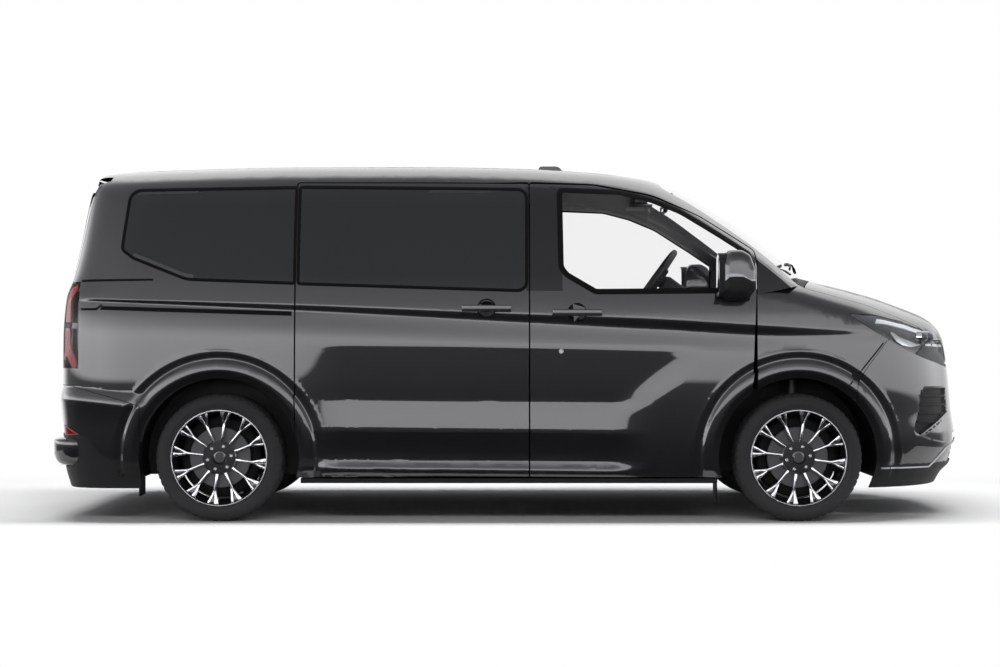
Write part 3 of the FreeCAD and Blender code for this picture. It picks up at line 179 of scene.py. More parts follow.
def round_max(a, b, reach):
    return np.maximum(a, b) + np.maximum(reach - np.abs(a - b), 0) ** 2 / (4 * reach)


# The pressed forms of the side: shoulder, door scoop, skirt, wheel-arch flares
SHOULDER = [(-2.25, 1.195), (-1.187, 1.166), (0.088, 1.115), (0.680, 1.094), (1.310, 1.056), (1.92, 1.022)]
SHOULDER_HEIGHT = [(-2.25, 0.020), (-1.187, 0.040), (0.088, 0.056), (0.68, 0.066), (1.31, 0.062), (1.92, 0.030)]
SHOULDER_DEPTH = [(-2.35, 0.0), (-2.2, 0.004), (-1.187, 0.0075), (0.088, 0.0095), (0.90, 0.0115), (1.31, 0.0105),
                  (1.60, 0.005), (1.95, 0.0)]
SCOOP = [(0.230, -0.004), (0.244, 0.004), (0.262, 0.006), (0.312, -0.006), (0.328, -0.009), (0.350, -0.0095),
         (0.455, -0.0015), (0.478, 0.001), (0.490, 0.0008), (0.505, -0.0008), (0.630, -0.0125), (0.648, -0.0135),
         (0.668, -0.0130), (0.900, -0.0024), (0.932, -0.0006), (0.955, 0.0), (1.1, 0.0)]
FLARE = [(0.390, -0.004), (0.425, 0.001), (0.455, 0.0105), (0.466, 0.0133), (0.474, 0.0135), (0.508, 0.0108),
         (0.514, 0.0082), (0.521, -0.0025), (0.526, -0.0042), (0.532, -0.0042), (0.566, 0.0006), (0.573, 0.0010),
         (0.585, 0.0), (0.7, 0.0)]


def softened(points, width):
    """A table with its corners rounded off over a width."""
    u = np.arange(points[0][0], points[-1][0] + 1e-9, 0.002)
    weight = np.exp(-0.5 * (np.arange(-8, 9) * 0.002 / width) ** 2)
    v = np.pad(curve(points, u), 8, mode="edge")
    return list(zip(u, np.convolve(v, weight / weight.sum(), mode="valid")))


FLARE = softened(FLARE, 0.0028)


def side_relief(x, y, z):
    side = ramp(np.abs(y), 0.78, 0.90)
    s = curve(SHOULDER, x) - z
    height = curve(SHOULDER_HEIGHT, x)
    depth = curve(SHOULDER_DEPTH, x)
    relief = -depth * (ramp(s, 0.0, height) - 0.35 * ramp(s, height, height + 0.14))
    # The doors' scoop runs out ahead of the rear arch and at a slanting line behind the front one
    tip = 1.06 - 0.30 * ramp(z, 0.94, 0.56)
    along = hump(x, -1.22, -0.86, tip - 0.26, tip)
    relief += curve(SCOOP, z - 0.011 * (0.1 - x)) * along
    # Wheel-arch flares
    for axle in AXLES.values():
        r = np.hypot(x - axle, z - TYRE_RADIUS)
        relief += ramp(z, 0.20, 0.30) * curve(FLARE, r)
    return relief * side


# The rear bumper's ledge: its height along x, then its form below that line
LEDGE = [(-2.6, 0.722), (-2.38, 0.719), (-2.07, 0.690), (-1.9, 0.680)]
LEDGE_SHAPE = [(-0.004, 0.0), (0.003, 0.0012), (0.014, 0.0048), (0.070, 0.0150), (0.080, 0.0150), (0.088, 0.0135),
               (0.220, 0.0040), (0.40, 0.0)]

LEDGE_SHAPE = softened(LEDGE_SHAPE, 0.004)


def rear_relief(x, y, z):
    """The rear bumper's ledge, and the dish round the number plate."""
    ledge = ramp(x, -1.93, -2.05) * curve(LEDGE_SHAPE, curve(LEDGE, x) - z)
    plate = ramp(x, -2.0, -2.2) * hump(np.abs(y), -1.0, 0.0, 0.30, 0.34) * hump(z, 0.86, 0.90, 1.10, 1.14)
    return ledge - 0.014 * plate


# The false intake at each front corner and the tooth under it, as (x, z)
INTAKE = [(2.242, 0.712), (2.410, 0.708), (2.640, 0.700), (2.640, 0.576), (2.445, 0.574), (2.399, 0.566),
          (2.206, 0.453), (2.168, 0.478), (2.194, 0.580), (2.208, 0.672)]
FANG = [(2.206, 0.449), (2.399, 0.560), (2.440, 0.572), (2.640, 0.572), (2.640, 0.441), (2.523, 0.441),
        (2.381, 0.400), (2.271, 0.424)]


def polygon_depth(u, v, polygon):
    """Signed distance into a polygon, positive inside."""
    best = np.full(u.shape, 1e9)
    inside = np.zeros(u.shape, bool)
    for (au, av), (bu, bv) in zip(polygon, polygon[1:] + polygon[:1]):
        du, dv = bu - au, bv - av
        t = np.clip(((u - au) * du + (v - av) * dv) / (du * du + dv * dv), 0, 1)
        best = np.minimum(best, np.hypot(u - au - t * du, v - av - t * dv))
        crosses = (av > v) != (bv > v)
        at = au + (v - av) / np.where(np.abs(dv) < 1e-12, 1e-12, dv) * du
        inside ^= crosses & (u < at)
    return np.where(inside, best, -best)


def front_relief(x, y, z):
    relief = -0.018 * ramp(np.abs(y), 0.545, 0.575) * ramp(polygon_depth(x, z, INTAKE), 0.0, 0.012)
    relief += 0.005 * ramp(np.abs(y), 0.600, 0.700) * ramp(polygon_depth(x, z, FANG), 0.0, 0.012)
    return relief


def upper_field(p):
    x, y, z = p[:, 0], p[:, 1], p[:, 2]
    wrap = wrap_field(x, y, z) - side_relief(x, y, z) - rear_relief(x, y, z)
    return round_max(wrap, z - roof_z(x, y), CORNER_BLEND)


def lower_field(p):
    x, y, z = p[:, 0], p[:, 1], p[:, 2]
    wrap = wrap_field(x, y, z) - side_relief(x, y, z) - front_relief(x, y, z)
    return round_max(wrap, z - bonnet_z(x, y), CORNER_BLEND)


def roof_field(p):
    x, y, z = p[:, 0], p[:, 1], p[:, 2]
    ribs = sum(hump(np.abs(y) - at, -0.022, -0.006, 0.006, 0.022) for at in ROOF_RIBS)
    return upper_field(p) + 0.006 * ribs * hump(x, -2.16, -2.06, 0.50, 0.60)


def bonnet_field(p):
    """Two long creases rise from the grille to the screen's corners."""
    x, y, z = p[:, 0], p[:, 1], p[:, 2]
    line = 0.36 + 0.16 * ramp(x, 2.40, 1.70)
    crease = hump(np.abs(y) - line, -0.16, 0.0, 0.0, 0.035) * hump(x, 1.62, 1.80, 2.30, 2.42)
    return lower_field(p) - 0.007 * crease


def plain_upper(p):
    x, y, z = p[:, 0], p[:, 1], p[:, 2]
    return np.maximum(wrap_field(x, y, z), z - roof_z(x, y))


def plain_lower(p):
    x, y, z = p[:, 0], p[:, 1], p[:, 2]
    return np.maximum(wrap_field(x, y, z), z - bonnet_z(x, y))


PLAIN = {lower_field: plain_lower, bonnet_field: plain_lower}


def gradient(field, p, eps=4e-4):
    slopes = []
    for axis in range(3):
        shift = np.zeros(3)
        shift[axis] = eps
        slopes.append((field(p + shift) - field(p - shift)) / (2 * eps))
    return np.stack(slopes, 1)


def settle(p, field, lift=0.0, rounds=5):
    """Moves points along the slope onto the surface, or a little above or below it."""
    p = p.copy()
    for _ in range(rounds):
        value = field(p)
        slope = gradient(field, p)
        size = np.maximum(np.linalg.norm(slope, axis=1), 0.3)
        step = np.clip((value - lift * size) / size, -0.05, 0.05)
        p -= (step / size)[:, None] * slope
    p[:, 0] = np.minimum(p[:, 0], FRONT_LIMIT)
    return p


def unit(v):
    return v / np.maximum(np.linalg.norm(v, axis=1), 1e-9)[:, None]


# Mesh helpers

def coords(items):
    return np.array([item.co for item in items], float).reshape(-1, 3)


def centres(faces):
    return np.array([f.calc_center_median() for f in faces], float).reshape(-1, 3)


def verts_of(faces):
    """The faces' points, each once and in the same order on each run, as a set's would not be."""
    return list(dict.fromkeys(v for f in faces for v in f.verts))


def edges_of(faces):
    return list(dict.fromkeys(e for f in faces for e in f.edges))


def cad_mesh(node):
    bm = bmesh.new()
    bm.from_mesh(nodes[node].data)
    bmesh.ops.remove_doubles(bm, verts=bm.verts, dist=2e-5)
    bm.normal_update()
    return bm


def mark_outside(bm, field, floor, ceiling=PANEL_CEILING):
    """Marks the faces that lie on the outside of the body."""
    mark = bm.faces.layers.int.new("outside")
    faces = list(bm.faces)
    middle = centres(faces)
    facing = np.array([f.normal for f in faces], float)
    plain = PLAIN.get(field, plain_upper)
    slope = unit(gradient(plain, middle))
    verts = list(bm.verts)
    depth = dict(zip(verts, plain(coords(verts))))
    span = np.array([(min(depth[v] for v in f.verts), max(depth[v] for v in f.verts)) for f in faces])
    keep = (span[:, 0] > floor) & (span[:, 1] < ceiling) & ((facing * slope).sum(1) > 0.35)
    for face, outside in zip(faces, keep):
        face[mark] = int(outside)
    return mark


def slice_outside(bm, mark, axis, stations):
    """Cuts the marked faces along planes, so that the forms have points to follow."""
    normal = Vector((0, 0, 0))
    normal[axis] = 1.0
    for station in stations:
        point = Vector((0, 0, 0))
        point[axis] = station
        near = []
        for face in bm.faces:
            if face[mark]:
                values = [v.co[axis] for v in face.verts]
                if min(values) < station - 1e-5 and max(values) > station + 1e-5:
                    near.append(face)
        if near:
            bmesh.ops.bisect_plane(bm, geom=near + edges_of(near) + verts_of(near), plane_co=point, plane_no=normal,
                                   dist=1e-5)


def cut_field(bm, mark, scalar):
    """Cuts the marked faces along the line where a function of the points is zero."""
    faces = [f for f in bm.faces if f[mark]]
    verts = verts_of(faces)
    if not verts:
        return
    values = scalar(coords(verts))
    level = {}
    for vert, value in zip(verts, values):
        level[vert] = 0.0 if abs(value) < 2e-5 else float(value)
    for edge in edges_of(faces):
        a, b = edge.verts
        if level[a] * level[b] < 0:
            share = level[a] / (level[a] - level[b])
            if share < 0.02:
                level[a] = 0.0
            elif share > 0.98:
                level[b] = 0.0
            else:
                made = bmesh.utils.edge_split(edge, a, share)[1]
                level[made] = 0.0
    for face in faces:
        on_line = [v for v in face.verts if level.get(v, 1.0) == 0.0]
        if len(on_line) == 2 and len(face.verts) > 3:
            a, b = on_line
            if not bm.edges.get((a, b)):
                bmesh.utils.face_split(face, a, b)


def ring(axle, radius):
    return lambda p: np.hypot(p[:, 0] - AXLES[axle], p[:, 2] - TYRE_RADIUS) - radius


def plane(axis, at):
    return lambda p: p[:, axis] - at


def everywhere(p):
    return np.ones(len(p), bool)


def slanted(points):
    """A line in the side view through (x, z) points, positive above it."""
    return lambda p: p[:, 2] - curve(points, p[:, 0])


def rounded(corners, steps_round=4, straight=0.03, share=0.48):
    """An outline with its corners rounded, from (u, v, radius)."""
    outline = []
    for i, (u, v, r) in enumerate(corners):
        here = np.array((u, v), float)
        a = np.array(corners[i - 1][:2]) - here
        b = np.array(corners[(i + 1) % len(corners)][:2]) - here
        la, lb = np.hypot(*a), np.hypot(*b)
        a, b = a / la, b / lb
        half = math.acos(float(np.clip(a @ b, -1, 1))) / 2
        if r <= 0 or half > math.pi / 2 - straight:
            outline.append((float(u), float(v)))
            continue
        reach = min(r / math.tan(half), share * la, share * lb)
        r = reach * math.tan(half)
        middle = here + (a + b) / np.hypot(*(a + b)) * r / math.sin(half)
        start, stop = here + a * reach, here + b * reach
        for k in range(steps_round + 1):
            spot = start + (stop - start) * k / steps_round - middle
            outline.append(tuple(float(c) for c in middle + spot / np.hypot(*spot) * r))
    return outline


def corner_points(shares):
    """A window's rounded outline from its shares: a list of (x, z) or (y, z)."""
    wide = HALF_WIDTH if shares is REAR_WINDOW else HALF_LENGTH
    return rounded([(wide * a, ROOF * b, HALF_WIDTH * r) for a, b, r in shares], 5, 0.02, math.inf)


# Materials

def node_tree(name):
    made = bpy.data.materials.new(name)
    made.use_nodes = True
    tree = made.node_tree
    shader = tree.nodes["Principled BSDF"]
    place = tree.nodes.new("ShaderNodeTexCoord").outputs["Object"]
    return made, tree, shader, place


def texture(tree, kind, place, scale, **settings):
    node = tree.nodes.new("ShaderNodeTex" + kind)
    tree.links.new(place, node.inputs["Vector"])
    node.inputs["Scale"].default_value = scale
    for name, value in settings.items():
        node.inputs[name].default_value = value
    return node


def mixed(tree, factor, low, high):
    """A colour between two, by a texture's value."""
    blend = tree.nodes.new("ShaderNodeMix")
    blend.data_type = "RGBA"
    tree.links.new(factor, blend.inputs["Factor"])
    blend.inputs["A"].default_value = (*low, 1)
    blend.inputs["B"].default_value = (*high, 1)
    return blend.outputs["Result"]


def mapped(tree, value, start, end, low=0.0, high=1.0, kind="LINEAR", clamp=True):
    """A value between start and end, brought to between low and high."""
    node = tree.nodes.new("ShaderNodeMapRange")
    node.interpolation_type = kind
    node.clamp = clamp
    tree.links.new(value, node.inputs["Value"])
    for name, number in (("From Min", start), ("From Max", end), ("To Min", low), ("To Max", high)):
        node.inputs[name].default_value = number
    return node.outputs["Result"]


def spread(tree, factor, low, high):
    """A number between two, by a texture's value."""
    return mapped(tree, factor, 0.0, 1.0, low, high)


def computed(tree, operation, first, second=None, clamp=False):
    """A sum on other nodes' outputs; the second value may be a number."""
    node = tree.nodes.new("ShaderNodeMath")
    node.operation = operation
    node.use_clamp = clamp
    tree.links.new(first, node.inputs[0])
    if isinstance(second, float):
        node.inputs[1].default_value = second
    elif second is not None:
        tree.links.new(second, node.inputs[1])
    return node.outputs[0]


def blended(tree, factor, first, second):
    """Two shaders, mixed by a factor."""
    mix = tree.nodes.new("ShaderNodeMixShader")
    for slot, source in zip(mix.inputs, (factor, first, second)):
        tree.links.new(source, slot)
    return mix.outputs[0]


def split_xyz(tree, place):
    parts = tree.nodes.new("ShaderNodeSeparateXYZ")
    tree.links.new(place, parts.inputs["Vector"])
    return [parts.outputs[axis] for axis in "XYZ"]


def bump(tree, shader, height, strength, distance):
    node = tree.nodes.new("ShaderNodeBump")
    node.inputs["Strength"].default_value = strength
    node.inputs["Distance"].default_value = distance
    tree.links.new(height, node.inputs["Height"])
    tree.links.new(node.outputs["Normal"], shader.inputs["Normal"])


def make_paint(name, low, high):
    """Metallic lacquer: fine flakes under a clear coat."""
    made, tree, shader, place = node_tree(name)
    flakes = texture(tree, "Voronoi", place, 1600.0)
    tone = texture(tree, "Noise", place, 3.0, Detail=2.0)
    colour = mixed(tree, flakes.outputs["Distance"], high, low)
    tree.links.new(colour, shader.inputs["Base Color"])
    tree.links.new(spread(tree, tone.outputs["Fac"], 0.30, 0.36), shader.inputs["Roughness"])
    shader.inputs["Metallic"].default_value = 0.4
    shader.inputs["Coat Weight"].default_value = 1.0
    shader.inputs["Coat IOR"].default_value = 1.7
    shader.inputs["Coat Roughness"].default_value = 0.03
    bump(tree, shader, flakes.outputs["Distance"], 0.05, 0.0004)
    return made


def make_plastic(name, colour, rough, grain=900.0, strength=0.25, shine=0.5):
    """Moulded plastic with a fine leather-like grain."""
    made, tree, shader, place = node_tree(name)
    cells = texture(tree, "Voronoi", place, grain)
    cloud = texture(tree, "Noise", place, 14.0, Detail=4.0)
    shader.inputs["Specular IOR Level"].default_value = shine
    low = tuple(c * 0.82 for c in colour)
    high = tuple(c * 1.18 for c in colour)
    tree.links.new(mixed(tree, cloud.outputs["Fac"], low, high), shader.inputs["Base Color"])
    tree.links.new(spread(tree, cloud.outputs["Fac"], rough - 0.06, rough + 0.06), shader.inputs["Roughness"])
    bump(tree, shader, cells.outputs["Distance"], strength, 0.0004)
    return made


def make_metal(name, colour, rough, brush=0.0):
    """Metal with a turned or cast surface."""
    made, tree, shader, place = node_tree(name)
    cloud = texture(tree, "Noise", place, 60.0, Detail=5.0)
    low = tuple(c * 0.85 for c in colour)
    high = tuple(min(c * 1.1, 1.0) for c in colour)
    tree.links.new(mixed(tree, cloud.outputs["Fac"], low, high), shader.inputs["Base Color"])
    tree.links.new(spread(tree, cloud.outputs["Fac"], rough * 0.8, rough * 1.2), shader.inputs["Roughness"])
    shader.inputs["Metallic"].default_value = 1.0
    if brush:
        fine = texture(tree, "Noise", place, 700.0, Detail=3.0)
        bump(tree, shader, fine.outputs["Fac"], brush, 0.0003)
    return made


def make_glass(name, colour, alpha, rough=0.02):
    made, tree, shader, place = node_tree(name)
    cloud = texture(tree, "Noise", place, 1.2, Detail=1.0)
    low = tuple(c * 0.9 for c in colour)
    high = tuple(c * 1.1 for c in colour)
    tree.links.new(mixed(tree, cloud.outputs["Fac"], low, high), shader.inputs["Base Color"])
    shader.inputs["Roughness"].default_value = rough
    shader.inputs["Alpha"].default_value = alpha
    shader.inputs["Specular IOR Level"].default_value = 0.6
    return made


def make_rubber(name, colour):
    made, tree, shader, place = node_tree(name)
    fine = texture(tree, "Noise", place, 380.0, Detail=6.0)
    dust = texture(tree, "Noise", place, 9.0, Detail=3.0)
    tree.links.new(mixed(tree, dust.outputs["Fac"], colour, tuple(c * 1.6 for c in colour)),
                   shader.inputs["Base Color"])
    tree.links.new(spread(tree, dust.outputs["Fac"], 0.62, 0.78), shader.inputs["Roughness"])
    bump(tree, shader, fine.outputs["Fac"], 0.3, 0.0005)
    return made


def make_cloth(name, colour):
    """Woven upholstery: two crossed thread waves and a slight mottle."""
    made, tree, shader, place = node_tree(name)
    warp = texture(tree, "Wave", place, 260.0, Distortion=0.6)
    weft = texture(tree, "Wave", place, 260.0, Distortion=0.6)
    weft.bands_direction = "Z"
    both = computed(tree, "MULTIPLY", warp.outputs["Fac"], weft.outputs["Fac"])
    tree.links.new(mixed(tree, both, tuple(c * 0.6 for c in colour), tuple(c * 1.4 for c in colour)),
                   shader.inputs["Base Color"])
    shader.inputs["Roughness"].default_value = 0.85
    shader.inputs["Sheen Weight"].default_value = 0.35
    bump(tree, shader, both, 0.4, 0.0006)
    return made


PAINT = make_paint("paint", (0.0085, 0.0085, 0.0095), (0.022, 0.022, 0.025))
BLACK_GLOSS = make_glass("black_gloss", (0.010, 0.010, 0.012), 1.0, 0.06)
BLACK = make_plastic("black_plastic", (0.008, 0.008, 0.009), 0.55, 900.0, 0.25, 0.3)
RUBBER_TRIM = make_plastic("rubber_trim", (0.004, 0.004, 0.0045), 0.62, 300.0, 0.1, 0.12)
DARK_GLASS = make_glass("dark_glass", (0.016, 0.018, 0.020), 0.965)
CLEAR_GLASS = make_glass("clear_glass", (0.05, 0.055, 0.056), 0.035)
TYRE_RUBBER = make_rubber("tyre_rubber", (0.018, 0.018, 0.019))
MACHINED = make_metal("machined_alloy", (0.80, 0.81, 0.83), 0.22, 0.15)
POCKET = make_paint("wheel_dark", (0.012, 0.012, 0.013), (0.030, 0.030, 0.033))
STEEL = make_metal("bright_steel", (0.55, 0.55, 0.56), 0.35, 0.2)
CAST = make_metal("cast_iron", (0.12, 0.12, 0.12), 0.62, 0.5)
CHASSIS = make_plastic("chassis_coat", (0.008, 0.008, 0.008), 0.60, 300.0, 0.2, 0.2)
CHROME = make_metal("chrome", (0.78, 0.79, 0.81), 0.10)
SATIN = make_metal("satin_silver", (0.50, 0.51, 0.53), 0.30, 0.1)
CABIN_TRIM = make_plastic("cabin_trim", (0.035, 0.035, 0.038), 0.60)
CABIN_LIGHT = make_plastic("cabin_light", (0.16, 0.16, 0.165), 0.70)
CLOTH = make_cloth("seat_weave", (0.045, 0.046, 0.050))
LENS = make_glass("lamp_lens", (0.5, 0.52, 0.55), 0.10)
RED_LENS = make_glass("red_lens", (0.42, 0.012, 0.015), 0.95, 0.08)
SMOKE_LENS = make_glass("smoke_lens", (0.03, 0.010, 0.012), 0.14, 0.04)
CAP_GREY = make_paint("cap_grey", (0.05, 0.05, 0.053), (0.11, 0.11, 0.115))
DISC_IRON = make_metal("disc_iron", (0.10, 0.10, 0.105), 0.45, 0.2)
BRIGHT_LENS = make_metal("bright_lens", (0.82, 0.84, 0.87), 0.16)
EYE_GLASS = make_glass("eye_glass", (0.10, 0.11, 0.13), 1.0, 0.02)
RED_GLOW = make_plastic("red_glow", (0.62, 0.020, 0.022), 0.25, 260.0, 0.2)
MIRROR_GLASS = make_metal("mirror_glass", (0.80, 0.82, 0.84), 0.03)
PLATE_WHITE = make_plastic("plate_white", (0.62, 0.62, 0.60), 0.35, 200.0, 0.03)
LAMP_WHITE = make_plastic("lamp_white", (0.75, 0.77, 0.80), 0.25, 200.0, 0.05)


def finish_bmesh(bm, name, materials):
    mesh = bpy.data.meshes.new(name)
    bm.to_mesh(mesh)
    bm.free()
    for material in materials:
        mesh.materials.append(material)
    piece = bpy.data.objects.new(name, mesh)
    bpy.context.scene.collection.objects.link(piece)
    return piece


def shade_by_field(piece, field, outside):
    """Gives the outside faces the smooth surface's own normals, and keeps the rest flat or rounded."""
    mesh = piece.data
    count = len(mesh.vertices)
    p = np.zeros(count * 3)
    mesh.vertices.foreach_get("co", p)
    p = p.reshape(-1, 3)
    loop_vert = np.zeros(len(mesh.loops), int)
    mesh.loops.foreach_get("vertex_index", loop_vert)
    starts = np.zeros(len(mesh.polygons), int)
    totals = np.zeros(len(mesh.polygons), int)
    mesh.polygons.foreach_get("loop_start", starts)
    mesh.polygons.foreach_get("loop_total", totals)
    loop_face = np.repeat(np.arange(len(starts)), totals)
    mesh.polygons.foreach_set("use_smooth", np.ones(len(starts), bool))
    mesh.set_sharp_from_angle(angle=0.5)
    normals = np.array([n.vector for n in mesh.corner_normals], float)
    outside_loops = outside[loop_face]
    used = np.unique(loop_vert[outside_loops])
    smooth = np.zeros((count, 3))
    smooth[used] = unit(gradient(field, p[used]))
    normals[outside_loops] = smooth[loop_vert[outside_loops]]
    mesh.normals_split_custom_set(normals.tolist())


def dress(node, field, materials, slices=(), cuts=(), regions=(), floor=PANEL_DEPTH, inner=0, details=(),
          drop=None, ceiling=PANEL_CEILING):
    """A new piece for a panel: its outside follows the smooth form, cut and coloured by region."""
    bm = cad_mesh(node)
    mark = mark_outside(bm, field, floor, ceiling)
    if drop:
        faces = list(bm.faces)
        gone = [f for f, inside in zip(faces, drop(centres(faces))) if inside and not f[mark]]
        bmesh.ops.delete(bm, geom=gone, context="FACES")
    for face in bm.faces:
        face.material_index = 0 if face[mark] else inner
    rigid = [f for f in bm.faces if not f[mark]]
    for index, test in details:
        for face, inside in zip(rigid, test(centres(rigid))):
            if inside:
                face.material_index = index
    for axis, stations in slices:
        slice_outside(bm, mark, axis, stations)
    for scalar in cuts:
        cut_field(bm, mark, scalar)
    outside = [f for f in bm.faces if f[mark]]
    bmesh.ops.triangulate(bm, faces=[f for f in outside if len(f.verts) > 4])
    outside = [f for f in bm.faces if f[mark]]
    verts = verts_of(outside)
    moved = settle(coords(verts), field)
    for vert, spot in zip(verts, moved):
        vert.co = spot
    bm.normal_update()
    if regions and outside:
        middle = centres(outside)
        for index, test in regions:
            for face, inside in zip(outside, test(middle)):
                if inside:
                    face.material_index = index
    mask = np.array([bool(f[mark]) for f in bm.faces], bool)
    piece = finish_bmesh(bm, node + "_skin", materials)
    shade_by_field(piece, field, mask)
    return piece


def flipped(piece, name):
    """The left-hand twin of a right-hand piece."""
    mesh = piece.data.copy()
    normals = [Vector((n.vector[0], -n.vector[1], n.vector[2])) for n in mesh.corner_normals]
    bm = bmesh.new()
    bm.from_mesh(mesh)
    bmesh.ops.scale(bm, vec=(1, -1, 1), verts=bm.verts)
    bm.to_mesh(mesh)
    bm.free()
    order = []
    for polygon in mesh.polygons:
        loops = list(polygon.loop_indices)
        order.append((loops[0], loops[1:][::-1]))
    mesh.flip_normals()
    turned = [None] * len(normals)
    for first, rest in order:
        turned[first] = normals[first]
        for slot, source in zip(range(first + 1, first + 1 + len(rest)), rest):
            turned[slot] = normals[source]
    mesh.normals_split_custom_set([tuple(n) for n in turned])
    twin = bpy.data.objects.new(name, mesh)
    bpy.context.scene.collection.objects.link(twin)
    return twin


def stand_in(piece, node, body):
    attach(piece, body)
    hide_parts(node)
    return piece


def steps(start, stop, size):
    count = max(int(round(abs(stop - start) / size)), 1)
    return [start + (stop - start) * i / count for i in range(count + 1)]


# Camera, lights and floor

def aim(thing, target):
    thing.rotation_euler = (Vector(target) - thing.location).to_track_quat("-Z", "Y").to_euler()


def make_camera():
    camera = bpy.data.objects.new("camera", bpy.data.cameras.new("camera"))
    camera.data.sensor_width = SENSOR
    camera.data.lens = SENSOR * FOCUS_PIXELS / PHOTO_WIDTH
    camera.location = (-0.073, -11.28, 1.006)
    camera.rotation_euler = (math.pi / 2, 0, 0)
    bpy.context.scene.collection.objects.link(camera)
    bpy.context.scene.camera = camera


def make_light(name, location, target, size, power, mirrored=True):
    light = bpy.data.lights.new(name, "AREA")
    light.shape = "RECTANGLE"
    light.size, light.size_y = size
    light.energy = power
    lamp = bpy.data.objects.new(name, light)
    lamp.location = location
    lamp.visible_glossy = mirrored
    aim(lamp, target)
    bpy.context.scene.collection.objects.link(lamp)


def make_floor():
    """A pale floor round the vehicle that takes its shadow and runs out into the white."""
    mesh = bpy.data.meshes.new("floor")
    mesh.from_pydata([(-4.4, -1.3, 0), (4.4, -1.3, 0), (4.4, 3.2, 0), (-4.4, 3.2, 0)], [], [(0, 1, 2, 3)])
    floor = bpy.data.objects.new("floor", mesh)
    bpy.context.scene.collection.objects.link(floor)
    made, tree, shader, place = node_tree("floor")
    cloud = texture(tree, "Noise", place, 0.8, Detail=2.0)
    tree.links.new(mixed(tree, cloud.outputs["Fac"], (0.80, 0.80, 0.80), (0.84, 0.84, 0.84)),
                   shader.inputs["Base Color"])
    shader.inputs["Roughness"].default_value = 0.9
    shader.inputs["Specular IOR Level"].default_value = 0.1
    white = tree.nodes.new("ShaderNodeEmission")
    white.inputs["Strength"].default_value = 1.0
    x, y, _ = split_xyz(tree, place)
    ahead = computed(tree, "MAXIMUM", mapped(tree, y, -1.0, -1.25, clamp=False), 0.0)
    edge_x = mapped(tree, computed(tree, "ABSOLUTE", x), 2.7, 4.2, kind="SMOOTHSTEP")
    edge_y = mapped(tree, y, 1.15, 2.6, kind="SMOOTHSTEP")
    edge = computed(tree, "MAXIMUM", computed(tree, "MAXIMUM", edge_x, edge_y), ahead, clamp=True)
    fade = computed(tree, "MULTIPLY", edge, seen_rays(tree))
    tree.links.new(blended(tree, fade, shader.outputs[0], white.outputs[0]),
                   tree.nodes["Material Output"].inputs["Surface"])
    mesh.materials.append(made)


def seen_rays(tree):
    """1 for what the camera, reflections and see-through parts look at, 0 for diffuse light."""
    path = tree.nodes.new("ShaderNodeLightPath")
    value = path.outputs["Is Camera Ray"]
    for name in ("Is Glossy Ray", "Is Transmission Ray"):
        value = computed(tree, "MAXIMUM", value, path.outputs[name])
    return value


def make_world():
    """White behind the vehicle; on the camera's side a dim sky over dark ground, as in a studio."""
    world = bpy.data.worlds.new("studio")
    bpy.context.scene.world = world
    world.use_nodes = True
    tree = world.node_tree
    tree.nodes.clear()
    output = tree.nodes.new("ShaderNodeOutputWorld")
    place = tree.nodes.new("ShaderNodeTexCoord").outputs["Generated"]
    x, y, z = split_xyz(tree, place)
    sky = tree.nodes.new("ShaderNodeValToRGB")
    tree.links.new(mapped(tree, z, -1.0, 1.0), sky.inputs["Fac"])
    stops = [(0.0, 0.005), (0.497, 0.007), (0.503, 0.80), (0.560, 0.90), (0.612, 0.34), (0.68, 0.17), (0.82, 0.13),
             (1.0, 0.12)]
    while len(sky.color_ramp.elements) < len(stops):
        sky.color_ramp.elements.new(0.5)
    for element, (at, level) in zip(sky.color_ramp.elements, stops):
        element.position = at
        element.color = (level, level, level * 1.03, 1)
    blend = tree.nodes.new("ShaderNodeMix")
    blend.data_type = "RGBA"
    tree.links.new(mapped(tree, y, 0.30, 0.80, kind="SMOOTHSTEP"), blend.inputs["Factor"])
    tree.links.new(sky.outputs["Color"], blend.inputs["A"])
    blend.inputs["B"].default_value = (1 / 3, 1 / 3, 1 / 3, 1)
    studio = tree.nodes.new("ShaderNodeBackground")
    tree.links.new(blend.outputs["Result"], studio.inputs["Color"])
    dim = tree.nodes.new("ShaderNodeBackground")
    dim.inputs["Color"].default_value = (0.92, 0.96, 1.0, 1)
    dim.inputs["Strength"].default_value = 0.15
    tree.links.new(mapped(tree, x, -0.08, -0.40, 3.0, 4.2), studio.inputs["Strength"])
    white = tree.nodes.new("ShaderNodeBackground")
    white.inputs["Color"].default_value = (1, 1, 1, 1)
    mirrored_ray = tree.nodes.new("ShaderNodeLightPath").outputs["Is Glossy Ray"]
    direct = blended(tree, seen_rays(tree), dim.outputs[0], white.outputs[0])
    tree.links.new(blended(tree, mirrored_ray, direct, studio.outputs[0]), output.inputs["Surface"])


make_camera()
make_light("overhead", (0.0, -0.1, 5.6), (0, -0.1, 0), (9.0, 1.4), 620, False)
make_light("front_fill", (0.0, -9.5, 5.6), (0, 0, 0.7), (14.0, 2.0), 330, False)
make_light("nose_band", (12.6, -2.0, 2.0), (0, 0, 1.6), (8.0, 1.9), 110, False)
make_light("tail_band", (-12.6, -2.0, 2.0), (0, 0, 1.6), (8.0, 1.9), 110, False)
make_floor()
make_world()
bpy.context.scene.view_settings.view_transform = "Standard"


# Shapes for the separate pieces

